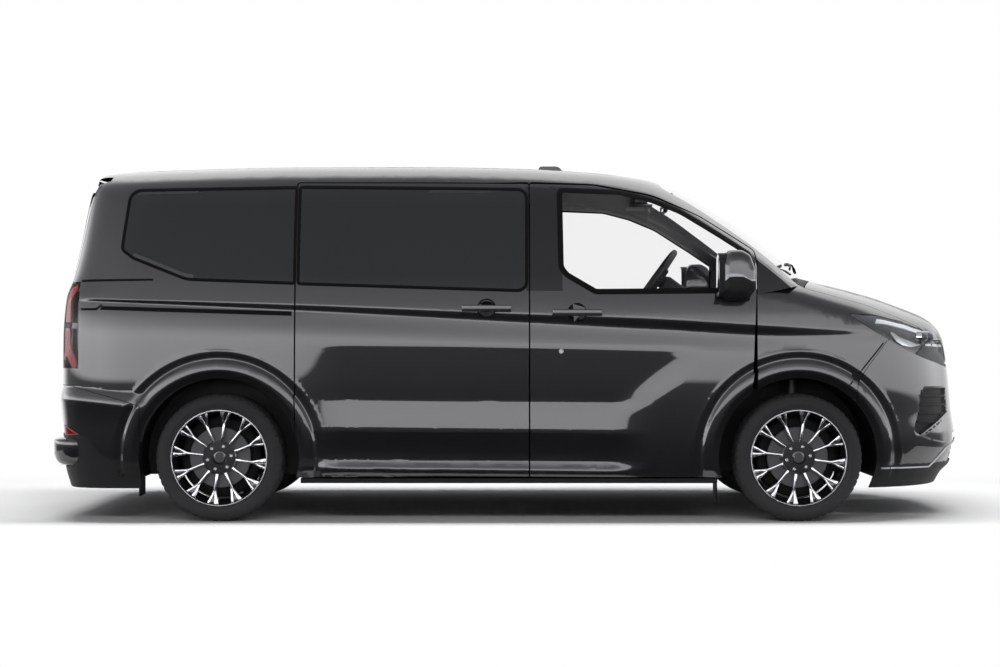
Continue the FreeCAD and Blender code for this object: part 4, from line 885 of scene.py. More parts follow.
def march(points, axis, sign, field, lift):
    """Where lines along x or y, coming from outside, meet the body's surface."""
    points = np.array(points, float)
    far, near = (2.62, 0.90) if axis == 0 else (1.06, 0.05)
    low = np.full(len(points), near)
    high = np.full(len(points), far)
    found = np.zeros(len(points), bool)
    tries = np.linspace(far, near, 100)
    for outer, inner in zip(tries, tries[1:]):
        points[:, axis] = sign * inner
        hit = ~found & (field(points) < lift)
        high[hit], low[hit] = outer, inner
        found |= hit
    for _ in range(14):
        middle = (low + high) / 2
        points[:, axis] = sign * middle
        inside = field(points) < lift
        low = np.where(inside, middle, low)
        high = np.where(inside, high, middle)
    points[:, axis] = sign * low
    points[:, 0] = np.minimum(points[:, 0], FRONT_LIMIT)
    return points


def upright(outline, axis):
    """Outline points as 3-D points in the side view (axis 1) or the end view (axis 0)."""
    return [(u, 0.0, v) if axis == 1 else (0.0, u, v) for u, v in outline]


def cut_everywhere(bm, axis, stations):
    normal = Vector((0, 0, 0))
    normal[axis] = 1.0
    for station in stations:
        point = Vector((0, 0, 0))
        point[axis] = station
        bmesh.ops.bisect_plane(bm, geom=list(bm.verts) + list(bm.edges) + list(bm.faces), plane_co=point,
                               plane_no=normal, dist=1e-6)


def round_edges(bm, edges, size, segments=2):
    return bmesh.ops.bevel(bm, geom=edges, offset=size, segments=segments, profile=0.5, affect="EDGES",
                           clamp_overlap=True)


def thicken(bm, place, top, bottom):
    """Doubles a sheet and puts both sides at their heights over the surface; returns the upper points."""
    made = bmesh.ops.extrude_face_region(bm, geom=list(bm.faces), use_keep_orig=True)
    upper = [part for part in made["geom"] if isinstance(part, bmesh.types.BMVert)]
    raised = set(upper)
    lower = [v for v in bm.verts if v not in raised]
    for verts, lift in ((upper, top), (lower, bottom)):
        if verts:
            for vert, spot in zip(verts, place(coords(verts), lift)):
                vert.co = spot
    bmesh.ops.recalc_face_normals(bm, faces=bm.faces)
    return raised


def plate(outline, field, top, bottom, axis=1, sign=-1, step=0.02, rounding=0.0):
    """A thin piece on the body, seen along an axis as an outline, between two heights over the surface."""
    bm = bmesh.new()
    face = bm.faces.new([bm.verts.new(spot) for spot in upright(outline, axis)])
    bmesh.ops.triangulate(bm, faces=[face])
    for direction, values in ((1 - axis, [u for u, v in outline]), (2, [v for u, v in outline])):
        cut_everywhere(bm, direction, steps(min(values), max(values), step)[1:-1])
    raised = thicken(bm, lambda points, lift: march(points, axis, sign, field, lift), top, bottom)
    if rounding:
        rim = [e for e in bm.edges if e.verts[0] in raised and e.verts[1] in raised
               and len([f for f in e.link_faces if all(v in raised for v in f.verts)]) == 1]
        round_edges(bm, rim, rounding)
    return bm


def dense(outline, size):
    points = []
    for a, b in zip(outline, outline[1:] + outline[:1]):
        count = max(int(math.ceil(math.dist(a, b) / size)), 1)
        points += [(a[0] + (b[0] - a[0]) * i / count, a[1] + (b[1] - a[1]) * i / count) for i in range(count)]
    return points


def offset(outline, distance):
    """An outline moved outwards along its corners' bisectors."""
    points = np.array(outline)
    after = np.roll(points, -1, 0) - points
    area = (points[:, 0] * np.roll(points, -1, 0)[:, 1] - points[:, 1] * np.roll(points, -1, 0)[:, 0]).sum()
    after = unit(after) * (1 if area > 0 else -1)
    normal = np.stack([after[:, 1], -after[:, 0]], 1)
    bisector = unit(normal + np.roll(normal, 1, 0))
    reach = np.maximum((bisector * normal).sum(1), 0.5)
    return points + bisector / reach[:, None] * distance


def band(outline, section, field, axis=1, sign=-1, size=0.03):
    """A closed strip round an outline; its section is a ring of (distance outwards, height)."""
    outline = dense(outline, size)
    bm = bmesh.new()
    rings = []
    for distance, lift in section:
        ring_points = upright(offset(outline, distance), axis)
        rings.append([bm.verts.new(spot) for spot in march(ring_points, axis, sign, field, lift)])
    join_rings(bm, rings, True, True)
    bmesh.ops.recalc_face_normals(bm, faces=bm.faces)
    return bm


def smooth_line(points, rounds):
    """Corner cutting that keeps both ends."""
    points = [Vector(p) for p in points]
    for _ in range(rounds):
        cut = [points[0]]
        for a, b in zip(points, points[1:]):
            cut += [a.lerp(b, 0.25), a.lerp(b, 0.75)]
        points = cut + [points[-1]]
    return points


def join_rings(bm, rings, closed_across, closed_along, materials=None):
    pairs = list(zip(rings, rings[1:] + rings[:1])) if closed_across else list(zip(rings, rings[1:]))
    for k, (a, b) in enumerate(pairs):
        count = max(len(a), len(b))
        for i in range(count if closed_along else count - 1):
            j = (i + 1) % count
            corners = [a[i % len(a)], a[j % len(a)], b[j % len(b)], b[i % len(b)]]
            corners = [v for n, v in enumerate(corners) if v not in corners[:n]]
            if len(corners) > 2:
                face = bm.faces.new(corners)
                face.material_index = materials[k] if materials else 0


def close_rings(bm, rings):
    """Joins rings along a line into a body with closed ends; returns the end faces."""
    join_rings(bm, rings, False, True)
    ends = [bm.faces.new(rings[0]), bm.faces.new(rings[-1])]
    bmesh.ops.recalc_face_normals(bm, faces=bm.faces)
    return ends


def lathe(profile, segments, centre, closed=True, materials=None, notch=None):
    """A shape turned about a line along y, from (radius, y) points."""
    bm = bmesh.new()
    rings = []
    for k, (radius, y) in enumerate(profile):
        if radius < 1e-6:
            rings.append([bm.verts.new((centre[0], centre[1] + y, centre[2]))])
            continue
        spots = []
        for i in range(segments):
            a = 2 * math.pi * i / segments
            r = radius - (notch(k, i) if notch else 0.0)
            spots.append(bm.verts.new((centre[0] + r * math.sin(a), centre[1] + y, centre[2] + r * math.cos(a))))
        rings.append(spots)
    join_rings(bm, rings, closed, True, materials)
    bmesh.ops.recalc_face_normals(bm, faces=bm.faces)
    return bm


def tube(path, radius, sides=10, flat=1.0):
    """A bar of round or oval section along points."""
    bm = bmesh.new()
    path = [Vector(p) for p in path]
    up = Vector((0, 0, 1)) if abs((path[1] - path[0]).normalized().z) < 0.9 else Vector((1, 0, 0))
    rings = []
    for i, spot in enumerate(path):
        along = (path[min(i + 1, len(path) - 1)] - path[max(i - 1, 0)]).normalized()
        across = along.cross(up).normalized()
        over = across.cross(along).normalized()
        reach = radius[i] if isinstance(radius, (list, tuple)) else radius
        rings.append([bm.verts.new(spot + across * reach * math.cos(a) + over * reach * flat * math.sin(a))
                      for a in (2 * math.pi * k / sides for k in range(sides))])
    close_rings(bm, rings)
    return bm


def block(low, high, rounding=0.004, segments=3):
    """A box between two corners with rounded edges."""
    bm = bmesh.new()
    bmesh.ops.create_cube(bm, size=1.0)
    low, high = Vector(low), Vector(high)
    for vert in bm.verts:
        vert.co = Vector([low[k] + (vert.co[k] + 0.5) * (high[k] - low[k]) for k in range(3)])
    round_edges(bm, list(bm.edges), rounding, segments)
    return bm


def prism(outline, low, high, axis=1, rounding=0.003, segments=2):
    """An outline seen along an axis, drawn out between two places on it."""
    bm = bmesh.new()
    rings = []
    for place in (low, high):
        ring_points = [list(spot) for spot in upright(outline, axis)]
        for spot in ring_points:
            spot[axis] = place
        rings.append([bm.verts.new(spot) for spot in ring_points])
    ends = close_rings(bm, rings)
    if rounding:
        round_edges(bm, edges_of(ends), rounding, segments)
    return bm


def turned(bm, turn, centre=(0, 0, 0)):
    bmesh.ops.rotate(bm, verts=list(bm.verts), cent=centre, matrix=turn)
    return bm


def moved(bm, shift):
    bmesh.ops.translate(bm, verts=list(bm.verts), vec=shift)
    return bm


def swap_sides(bm):
    """Turns a right-hand mesh into its left-hand twin."""
    for vert in bm.verts:
        vert.co.y = -vert.co.y
    bmesh.ops.reverse_faces(bm, faces=list(bm.faces))


def merge(target, part, material=None):
    """Adds one mesh to another, with its faces in one material unless it has its own."""
    if material is not None:
        for face in part.faces:
            face.material_index = material
    mesh = bpy.data.meshes.new("part")
    part.to_mesh(mesh)
    part.free()
    target.from_mesh(mesh)
    bpy.data.meshes.remove(mesh)


def add_twin(bm):
    """Adds the left-hand twin of everything in the mesh."""
    made = bmesh.ops.duplicate(bm, geom=list(bm.verts) + list(bm.edges) + list(bm.faces))["geom"]
    for part in made:
        if isinstance(part, bmesh.types.BMVert):
            part.co.y = -part.co.y
    bmesh.ops.reverse_faces(bm, faces=[part for part in made if isinstance(part, bmesh.types.BMFace)])


def finish_piece(bm, name, materials, body="body", angle=0.6, twin=False, node=None):
    if twin:
        add_twin(bm)
    piece = finish_bmesh(bm, name, materials)
    mesh = piece.data
    mesh.polygons.foreach_set("use_smooth", [True] * len(mesh.polygons))
    mesh.set_sharp_from_angle(angle=angle)
    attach(piece, body)
    if node:
        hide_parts(node)
    return piece


def right_and_left(make, name, materials, body):
    """A piece on the right-hand body and its twin on the left-hand one."""
    for side in ("right", "left"):
        bm = make()
        if side == "left":
            swap_sides(bm)
        finish_piece(bm, "%s_%s" % (name, side), materials, body % side)


def patch(node, field, keep, cuts, slices, top, bottom, floor=-0.02):
    """A slab that follows part of a panel's outside, between two heights over it."""
    bm = cad_mesh(node)
    mark = mark_outside(bm, field, floor)
    for axis, stations in slices:
        slice_outside(bm, mark, axis, stations)
    for scalar in cuts:
        cut_field(bm, mark, scalar)
    faces = list(bm.faces)
    wanted = keep(centres(faces))
    drop = [f for f, inside in zip(faces, wanted) if not (f[mark] and inside)]
    bmesh.ops.delete(bm, geom=drop, context="FACES")
    thicken(bm, lambda points, lift: settle(points, field, lift), top, bottom)
    return bm


# Body panels

def within(outline, reach=0.0):
    return lambda p: polygon_depth(p[:, 0], p[:, 2], outline) > reach


def edge_of(outline, reach=0.0):
    return lambda p: polygon_depth(p[:, 0], p[:, 2], outline) - reach


RING_RADII = (0.440, 0.455, 0.466, 0.474, 0.508, 0.514, 0.521, 0.526, 0.532, 0.550, 0.566, 0.573, 0.585)
FRONT_RINGS, REAR_RINGS = ([ring(name, r) for r in RING_RADII] for name in AXLES)
shoulder_line = lambda drop: (lambda p: p[:, 2] - curve(SHOULDER, p[:, 0]) + drop * curve(SHOULDER_HEIGHT, p[:, 0]))
SHOULDER_CUTS = [shoulder_line(share) for share in (-0.1, 0.1, 0.3, 0.5, 0.7, 0.9, 1.1, 1.6, 2.2, 3.0)]
ledge_line = lambda level: (lambda p: p[:, 2] - 0.011 * (0.1 - p[:, 0]) - level)
LEDGE_CUTS = [ledge_line(level) for level in (0.244, 0.262, 0.287, 0.312, 0.328, 0.350, 0.40, 0.455, 0.478, 0.490,
                                              0.505, 0.55, 0.59, 0.63, 0.648, 0.668, 0.72, 0.78, 0.84, 0.90,
                                              0.932, 0.955)]

SIDE_Z = steps(0.22, 1.02, 0.05)


# The lower edge of the side glass, as (x, z)
BELT_LINE = [(-1.2, 1.277), (0.066, 1.234), (0.436, 1.234), (1.0, 1.207), (1.3, 1.19)]


def pillar_zone(p):
    """The black posts between the front and the sliding door's glass."""
    return ((p[:, 0] > PILLAR_REAR) & (p[:, 0] < PILLAR_FRONT) & (slanted(BELT_LINE)(p) > 0)
            & (p[:, 2] < PILLAR_TOP))


def in_rail(p):
    """The slot in the side that the sliding door's roller runs in."""
    return ((p[:, 0] < -1.10) & (p[:, 0] > -2.30) & (p[:, 2] > 1.09) & (p[:, 2] < 1.17)
            & (plain_upper(p) > -0.0125))


def on_grip(p):
    return plain_upper(p) > 0.004


def in_bowl(p):
    return (plain_upper(p) > -0.018) & (plain_upper(p) < 0.004) & (p[:, 2] > 1.05) & (p[:, 2] < 1.20)


GRIPS = [(1, in_bowl), (0, on_grip)]
PILLAR_CUTS = [slanted(BELT_LINE), plane(2, PILLAR_TOP)]
BUMPER_LEDGE = [slanted([(u, v - k) for u, v in LEDGE]) for k in (-0.004, 0.003, 0.014, 0.070, 0.080, 0.088, 0.15)]


def make_sides():
    right = {}
    side_x = steps(-2.40, 1.32, 0.09)
    right["body_side"] = dress(
        "body_side_right", upper_field, [PAINT, BLACK_GLOSS, CABIN_TRIM, BLACK],
        slices=[(0, side_x + steps(-2.43, -1.93, 0.03)),
                (2, SIDE_Z + steps(0.60, 0.78, 0.018) + steps(1.05, 1.9, 0.085))],
        cuts=REAR_RINGS + SHOULDER_CUTS + BUMPER_LEDGE, floor=SIDE_DEPTH, inner=2, details=[(3, in_rail)])
    right["sliding_door"] = dress(
        "sliding_door_right", upper_field, [PAINT, BLACK_GLOSS, CABIN_TRIM],
        slices=[(0, steps(-1.17, -0.84, 0.022) + steps(-0.78, 0.08, 0.07)), (2, SIDE_Z + steps(0.515, 0.935, 0.03))],
        cuts=SHOULDER_CUTS + LEDGE_CUTS + REAR_RINGS[4:] + [plane(0, PILLAR_REAR)] + PILLAR_CUTS,
        regions=[(1, pillar_zone)], floor=SLIDING_DEPTH, inner=2, details=GRIPS, ceiling=DOOR_CEILING)
    right["front_door"] = dress(
        "front_door_right", upper_field, [PAINT, BLACK_GLOSS, CABIN_TRIM],
        slices=[(0, steps(0.09, 0.44, 0.07) + steps(0.47, 1.07, 0.03) + [1.12, 1.19, 1.25]),
                (2, SIDE_Z + steps(0.515, 0.935, 0.03))],
        cuts=SHOULDER_CUTS + LEDGE_CUTS + FRONT_RINGS + [plane(0, PILLAR_FRONT)] + PILLAR_CUTS,
        regions=[(1, pillar_zone)], floor=DOOR_DEPTH, inner=2, details=GRIPS, ceiling=DOOR_CEILING)
    right["wing"] = dress(
        "wing_right", lower_field, [PAINT, BLACK, CHASSIS],
        slices=[(0, steps(1.30, 2.45, 0.07)), (2, SIDE_Z)],
        cuts=SHOULDER_CUTS + FRONT_RINGS, inner=2)
    for name, piece in right.items():
        body = name + "_right" if name == "front_door" else "body"
        stand_in(piece, name + "_right", body)
        twin = flipped(piece, name + "_left_skin")
        stand_in(twin, name + "_left", body.replace("right", "left"))


# Where the rear bumper's black foot starts, as (x, z)
REAR_CREASE = [(-2.60, 0.470), (-2.323, 0.466), (-2.160, 0.335), (-2.024, 0.322), (-1.9, 0.315)]


def make_centre_panels():
    stand_in(dress("roof_panel", roof_field, [PAINT, CABIN_LIGHT],
                   slices=[(0, steps(-2.30, 0.84, 0.1)), (1, steps(-0.70, 0.70, 0.02))], inner=1,
                   details=[(0, lambda p: p[:, 0] < -2.2)]),
             "roof_panel", "body")
    stand_in(dress("bonnet", bonnet_field, [PAINT],
                   slices=[(0, steps(1.60, 2.50, 0.05)), (1, steps(-0.84, 0.84, 0.03))]),
             "bonnet", "bonnet")
    stand_in(dress("tailgate", upper_field, [PAINT, BLACK_GLOSS, CABIN_TRIM],
                   slices=[(1, steps(-0.80, 0.80, 0.04)), (2, steps(0.50, 1.24, 0.03))],
                   floor=DOOR_DEPTH, inner=2, details=[(0, lambda p: p[:, 2] > 1.835)]),
             "tailgate", "tailgate")
    stand_in(dress("front_bumper", lower_field, [PAINT, BLACK, CHASSIS],
                   slices=[(0, steps(1.82, 2.14, 0.04) + steps(2.155, 2.515, 0.018)), (1, steps(-0.96, 0.96, 0.05)),
                           (2, steps(0.20, 0.40, 0.03) + steps(0.42, 0.735, 0.015) + steps(0.76, 0.98, 0.03))],
                   cuts=[lambda p: np.abs(p[:, 1]) - 0.545, lambda p: np.abs(p[:, 1]) - 0.575,
                         edge_of(INTAKE), edge_of(INTAKE, 0.012), edge_of(FANG), edge_of(FANG, 0.012)] + FRONT_RINGS,
                   regions=[(1, lambda p: within(INTAKE, 0.003)(p) & (np.abs(p[:, 1]) > 0.555)),
                            (1, lambda p: p[:, 2] < 0.300)], inner=2),
             "front_bumper", "body")
    stand_in(dress("rear_bumper", upper_field, [PAINT, BLACK, CHASSIS],
                   slices=[(0, steps(-2.50, -1.98, 0.05)), (1, steps(-0.96, 0.96, 0.06)),
                           (2, steps(0.20, 0.56, 0.03) + steps(0.58, 0.80, 0.018))],
                   cuts=REAR_RINGS + [slanted(REAR_CREASE)] + BUMPER_LEDGE,
                   drop=lambda p: (p[:, 0] < -2.455) | ((p[:, 0] < -2.30) & (plain_upper(p) > 0.012)
                                                        & (p[:, 2] > 0.25) & (p[:, 2] < 0.47)),
                   regions=[(1, lambda p: slanted(REAR_CREASE)(p) < 0)], inner=2), "rear_bumper", "body")


def make_glazing():
    for node, field, material, body, slot_name in (
            ("windscreen", upper_field, CLEAR_GLASS, "body", "glass"),
            ("front_door_glass_right", upper_field, CLEAR_GLASS, "front_door_right", "glass"),
            ("front_door_glass_left", upper_field, CLEAR_GLASS, "front_door_left", "glass"),
            ("side_windows", upper_field, DARK_GLASS, "body", "dark_glass"),
            ("tailgate_glass", upper_field, DARK_GLASS, "tailgate", "dark_glass")):
        stand_in(dress(node, field, [material], ceiling=DOOR_CEILING), node, body)


# Wheels and tyres

SPOKES = 12
FORK_TURN = math.radians(8.0)


def wedge(points, front, depth, rounding=0.0012):
    """A flat bar in the wheel's plane from (radius, across) points: bright face, dark flanks."""
    bm = bmesh.new()
    rings = []
    for back in (0.0, depth):
        rings.append([bm.verts.new((v, front(u) + back, u)) for u, v in points])
    face = close_rings(bm, rings)[0]
    for each in bm.faces:
        each.material_index = 1
    face.material_index = 0
    for each in round_edges(bm, list(face.edges), rounding)["faces"]:
        each.material_index = 0
    return bm


def wheel_parts():
    """One wheel about its own centre, outer face towards -y: bright arms over a dark barrel."""
    bm = bmesh.new()
    half = TYRE_WIDTH / 2
    lip = RIM_RADIUS
    barrel = [(lip - 0.012, -half * 0.8), (lip, -half * 0.86), (lip, -half + 0.001), (lip - 0.001, -half),
              (lip - 0.0055, -half), (lip - 0.008, -half + 0.003), (lip - 0.010, -half + 0.012),
              (lip - 0.018, -half * 0.72), (lip - 0.026, -half * 0.3), (lip - 0.030, 0.0), (lip - 0.024, half * 0.4),
              (lip - 0.019, half * 0.8), (lip - 0.008, half - 0.003), (lip, half), (lip, half * 0.86),
              (lip - 0.012, half * 0.8)]
    shades = [1, 1, 0, 0, 0, 1, 1, 1, 1, 1, 1, 1, 1, 1, 1, 1]
    merge(bm, lathe(barrel, 144, (0, 0, 0), materials=shades))

    def front(u):
        return -half + 0.0245 - 0.010 * max((u - 0.16) / 0.09, 0.0) ** 2 + 0.004 * max((0.10 - u) / 0.05, 0.0)

    stem = [(0.086, -0.0072), (0.130, -0.0056), (0.176, -0.0064), (0.190, 0.0), (0.176, 0.0064), (0.130, 0.0056),
            (0.086, 0.0072)]
    thin = [(0.170, 0.0), (0.176, 0.0064), (0.212, 0.0180), (0.2480, 0.0310), (0.2490, 0.0165), (0.222, 0.0095),
            (0.192, 0.0012)]
    thick = [(0.170, 0.0), (0.192, -0.0012), (0.208, -0.0035), (0.228, -0.0060), (0.2490, -0.0060),
             (0.2480, -0.0320), (0.212, -0.0185), (0.176, -0.0064)]
    web = [(0.182, -0.004), (0.249, -0.020), (0.249, 0.024), (0.182, 0.004)]
    for k in range(SPOKES):
        turn = Matrix.Rotation(FORK_TURN + 2 * math.pi * k / SPOKES, 3, "Y")
        for points in (stem, thin, thick):
            merge(bm, turned(wedge(points, front, 0.030), turn))
        merge(bm, turned(wedge(web, lambda u: front(u) + 0.014, 0.014), turn), 1)
    hub_y = -half + 0.026
    hub = [(0.0, hub_y - 0.007), (0.022, hub_y - 0.007), (0.026, hub_y - 0.004), (0.027, hub_y + 0.002),
           (0.034, hub_y + 0.003), (0.038, hub_y - 0.005), (0.084, hub_y - 0.004), (0.091, hub_y + 0.002),
           (0.093, hub_y + 0.030), (0.0, hub_y + 0.030)]
    merge(bm, lathe(hub, 72, (0, 0, 0), closed=False, materials=[5, 5, 1, 1, 1, 1, 1, 1, 1]))
    for k in range(6):
        a = 2 * math.pi * k / 6 + 0.35
        spot = (0.064 * math.sin(a), 0.0, 0.064 * math.cos(a))
        cup = [(0.0, hub_y + 0.002), (0.0125, hub_y + 0.002), (0.0145, hub_y - 0.0055), (0.016, hub_y - 0.0055),
               (0.0165, hub_y - 0.002), (0.0, hub_y - 0.001)]
        merge(bm, lathe(cup, 20, spot, closed=False), 1)
        nut = [(0.0, hub_y - 0.012), (0.0065, hub_y - 0.012), (0.0100, hub_y - 0.009), (0.0110, hub_y - 0.001),
               (0.0, hub_y - 0.001)]
        merge(bm, lathe(nut, 6, spot, closed=False), 0)
    disc_y = hub_y + 0.030
    disc = [(0.070, disc_y), (0.160, disc_y), (0.1635, disc_y + 0.002), (0.1635, disc_y + 0.009),
            (0.150, disc_y + 0.010), (0.150, disc_y + 0.016), (0.1635, disc_y + 0.017), (0.1635, disc_y + 0.024),
            (0.160, disc_y + 0.026), (0.040, disc_y + 0.026), (0.040, disc_y)]
    merge(bm, lathe(disc, 96, (0, 0, 0)), 3)
    valve = tube([(0.236, -half + 0.022, 0.0), (0.232, -half + 0.006, 0.0)], 0.004, 8)
    merge(bm, turned(valve, Matrix.Rotation(FORK_TURN + math.pi / 12, 3, "Y")), 4)
    return bm


def tyre_parts():
    """One tyre: grooved tread with shoulder blocks, and raised rings on the sidewalls."""
    half = TYRE_WIDTH / 2
    side = [(0.2475, 0.76), (0.2583, 0.84), (0.2583, 0.96), (0.262, 0.985), (0.266, 0.985), (0.268, 0.999),
            (0.274, 1.008), (0.284, 1.018), (0.286, 1.024), (0.289, 1.024), (0.291, 1.020), (0.301, 1.020),
            (0.303, 1.014), (0.312, 0.995), (0.320, 0.970), (0.328, 0.930)]
    tread = [(0.334, 0.885), (0.3375, 0.84), (0.3395, 0.78), (0.3400, 0.64), (0.3395, 0.62), (0.3330, 0.60),
             (0.3330, 0.54), (0.3400, 0.52), (0.3408, 0.24), (0.3400, 0.225), (0.3335, 0.21), (0.3335, 0.15),
             (0.3405, 0.13)]
    near = [(a, -half * b) for a, b in side + tread]
    profile = near + [(a, -y) for a, y in reversed(near)]
    shoulder = len(side)
    count = len(profile)

    def notch(k, i):
        """Cuts between the blocks: at the shoulders every fifth step, a half step on in the ribs."""
        k = min(k, count - 1 - k)
        if k < shoulder - 1:
            return 0.0
        if k < shoulder + 4:
            return 0.0050 if i % 5 == 0 else 0.0
        if k in (shoulder + 7, shoulder + 8):
            return 0.0040 if i % 5 == 2 else 0.0
        return 0.0

    return lathe(profile, 260, (0, 0, 0), notch=notch)


def make_wheels():
    for end, x in AXLES.items():
        for side, sign in (("right", -1), ("left", 1)):
            for kind, make, materials, slot_name in (
                    ("wheel", wheel_parts, [MACHINED, POCKET, SATIN, DISC_IRON, BLACK, CAP_GREY], "alloy"),
                    ("tyre", tyre_parts, [TYRE_RUBBER], "tyre")):
                bm = make()
                if sign > 0:
                    swap_sides(bm)
                moved(bm, (x, sign * (WHEEL_FACE - TYRE_WIDTH / 2), TYRE_RADIUS))
                node = "%s_%s_%s" % (end, kind, side)
                finish_piece(bm, node + "_skin", materials, "%s_wheel_%s" % (end, side), 0.5, node=node)


def make_shields():
    """Pressed dust shields behind the brake discs."""
    face = WHEEL_FACE - TYRE_WIDTH / 2
    for end, side in (("front", "right"), ("front", "left"), ("rear", "right"), ("rear", "left")):
        profile = [(0.0725, -0.018), (0.150, -0.018), (0.165, -0.022), (0.205, -0.022), (0.216, -0.016),
                   (0.217, -0.010), (0.2155, -0.010), (0.204, -0.019), (0.166, -0.019), (0.151, -0.015),
                   (0.0725, -0.015)]
        bm = lathe(profile, 96, (AXLES[end], 0, TYRE_RADIUS))
        moved(bm, (0, -face, 0))
        if side == "left":
            swap_sides(bm)
        finish_piece(bm, "%s_brake_shield_%s" % (end, side), [CHASSIS],
                     "knuckle_" + side if end == "front" else "body")


# Lamps

DRL = [(1.954, 1.091), (2.042, 1.079), (2.141, 1.058), (2.254, 1.024), (2.400, 0.984), (2.60, 0.984), (2.60, 0.964),
       (2.388, 0.962), (2.246, 1.001), (2.133, 1.036), (2.036, 1.058), (1.950, 1.072)]
MAIN_BEAM = [(2.026, 1.026), (2.055, 1.019), (2.094, 0.990), (2.15, 0.972), (2.225, 0.948), (2.162, 0.932),
             (2.106, 0.944), (2.069, 0.966)]
INDICATOR = [(2.26, 0.951), (2.40, 0.948), (2.60, 0.948), (2.60, 0.934), (2.40, 0.934), (2.27, 0.937)]
WING_LAMP = [(1.75, 1.14), (1.99, 1.14), (1.90, 0.98), (1.75, 1.05)]
LOWER_LAMP = [(2.26, 0.951), (2.60, 0.951), (2.60, 0.79), (2.10, 0.79)]


def make_headlamps():
    node = "headlamps"
    slices = [(0, steps(1.80, 2.44, 0.03)), (1, steps(-0.94, 0.94, 0.035)), (2, steps(0.83, 1.12, 0.02))]
    cover = patch(node, lower_field, everywhere, [edge_of(WING_LAMP)], slices, 0.0, -0.0035)
    finish_piece(cover, "headlamp_covers", [LENS], node=node)
    tub = bmesh.new()
    merge(tub, patch(node, lower_field, everywhere, [], slices, -0.016, -0.024), 0)
    for outline, top, shade in ((WING_LAMP, -0.0045, 1), (LOWER_LAMP, -0.006, 1), (DRL, -0.007, 2),
                                (MAIN_BEAM, -0.006, 3), (INDICATOR, -0.0048, 3)):
        merge(tub, patch(node, lower_field, within(outline), [edge_of(outline)], slices, top, -0.018), shade)
    eye = [(0.0, -0.034), (0.010, -0.032), (0.019, -0.026), (0.026, -0.015), (0.028, 0.0), (0.031, 0.0),
           (0.034, -0.006), (0.035, 0.025), (0.0, 0.025)]
    for x, y, z in ((2.285, -0.63, 0.985), (2.235, -0.72, 0.985)):
        for across, angle in ((y, 68), (-y, 112)):
            lens = lathe(eye, 32, (0, 0, 0), closed=False, materials=[4, 4, 4, 4, 5, 5, 5, 5])
            merge(tub, moved(turned(lens, Matrix.Rotation(math.radians(angle), 3, "Z")), (x, across, z)))
    finish_piece(tub, "headlamp_insides", [BLACK_GLOSS, BLACK, LAMP_WHITE, BRIGHT_LENS, EYE_GLASS, CHROME],
                 node=node)


TAIL_C = [(-2.349, 1.273), (-2.349, 1.246), (-2.391, 1.181), (-2.388, 1.068), (-2.60, 1.068), (-2.60, 1.194),
          (-2.414, 1.237)]
TAIL_LOW = [(-2.60, 1.036), (-2.391, 1.036), (-2.385, 0.928), (-2.346, 0.859), (-2.349, 0.816), (-2.371, 0.821),
            (-2.411, 0.880), (-2.60, 0.880)]


def red_zone(p):
    """The lit red C as seen from the side and from behind."""
    x, y, z = p[:, 0], np.abs(p[:, 1]), p[:, 2]
    side = (within(TAIL_C)(p) | within(TAIL_LOW)(p)) & (x > LAMP_CORNER)
    bars = [(z > low) & (z < high) for low, high in (LOWER_BAR, UPPER_BAR)]
    upright_bar = (y > 0.898) & (z > LOWER_BAR[0]) & (z < UPPER_BAR[1])
    return side | ((x <= LAMP_CORNER) & (bars[0] | bars[1] | upright_bar))


def make_tail_lamps():
    node = "tail_lamps"
    slices = [(0, steps(-2.44, -2.34, 0.012)), (1, steps(-0.94, 0.94, 0.03)), (2, steps(0.82, 1.28, 0.03))]
    cuts = [edge_of(TAIL_C), edge_of(TAIL_LOW), plane(0, LAMP_CORNER)]
    cuts += [plane(2, z) for z in LOWER_BAR + UPPER_BAR]
    cover = patch(node, upper_field, everywhere, cuts, slices, 0.0, -0.003)
    finish_piece(cover, "tail_lamp_covers", [SMOKE_LENS], node=node)
    inside = bmesh.new()
    merge(inside, patch(node, upper_field, everywhere, [], slices, -0.030, -0.052), 0)
    merge(inside, patch(node, upper_field, red_zone, cuts, slices, -0.0035, -0.009), 1)

    def clear(p):
        return ((np.abs(p[:, 1]) < 0.885) & (p[:, 2] > CLEAR_BAND[0]) & (p[:, 2] < CLEAR_BAND[1])
                & (p[:, 0] < -2.43))

    levels = [plane(2, z) for z in (*CLEAR_BAND, sum(CLEAR_BAND) / 2)]
    merge(inside, patch(node, upper_field, clear, levels, slices, -0.012, -0.028), 2)
    finish_piece(inside, "tail_lamp_insides", [BLACK_GLOSS, RED_GLOW, SATIN], node=node)


# Trim on the outside

GASKET = [(-0.004, -0.004), (-0.004, 0.0012), (-0.001, 0.0026), (0.009, 0.0026), (0.013, 0.0010), (0.013, -0.004)]
DOOR_SEAL = [(-0.012, -0.004), (-0.012, 0.0008), (-0.004, 0.0022), (0.014, 0.0022), (0.018, 0.0010), (0.018, -0.004)]


def make_gaskets():
    both_windows = bmesh.new()
    for shares in (SLIDING_WINDOW, QUARTER_WINDOW):
        merge(both_windows, band(corner_points(shares), GASKET, upper_field))
    finish_piece(both_windows, "side_window_gaskets", [RUBBER_TRIM], twin=True)
    right_and_left(lambda: band(corner_points(FRONT_WINDOW), DOOR_SEAL, upper_field), "front_window_seal",
                   [RUBBER_TRIM], "front_door_%s")
    rear = band(corner_points(REAR_WINDOW), GASKET, upper_field, 0, -1)
    finish_piece(rear, "rear_window_gasket", [RUBBER_TRIM], "tailgate")


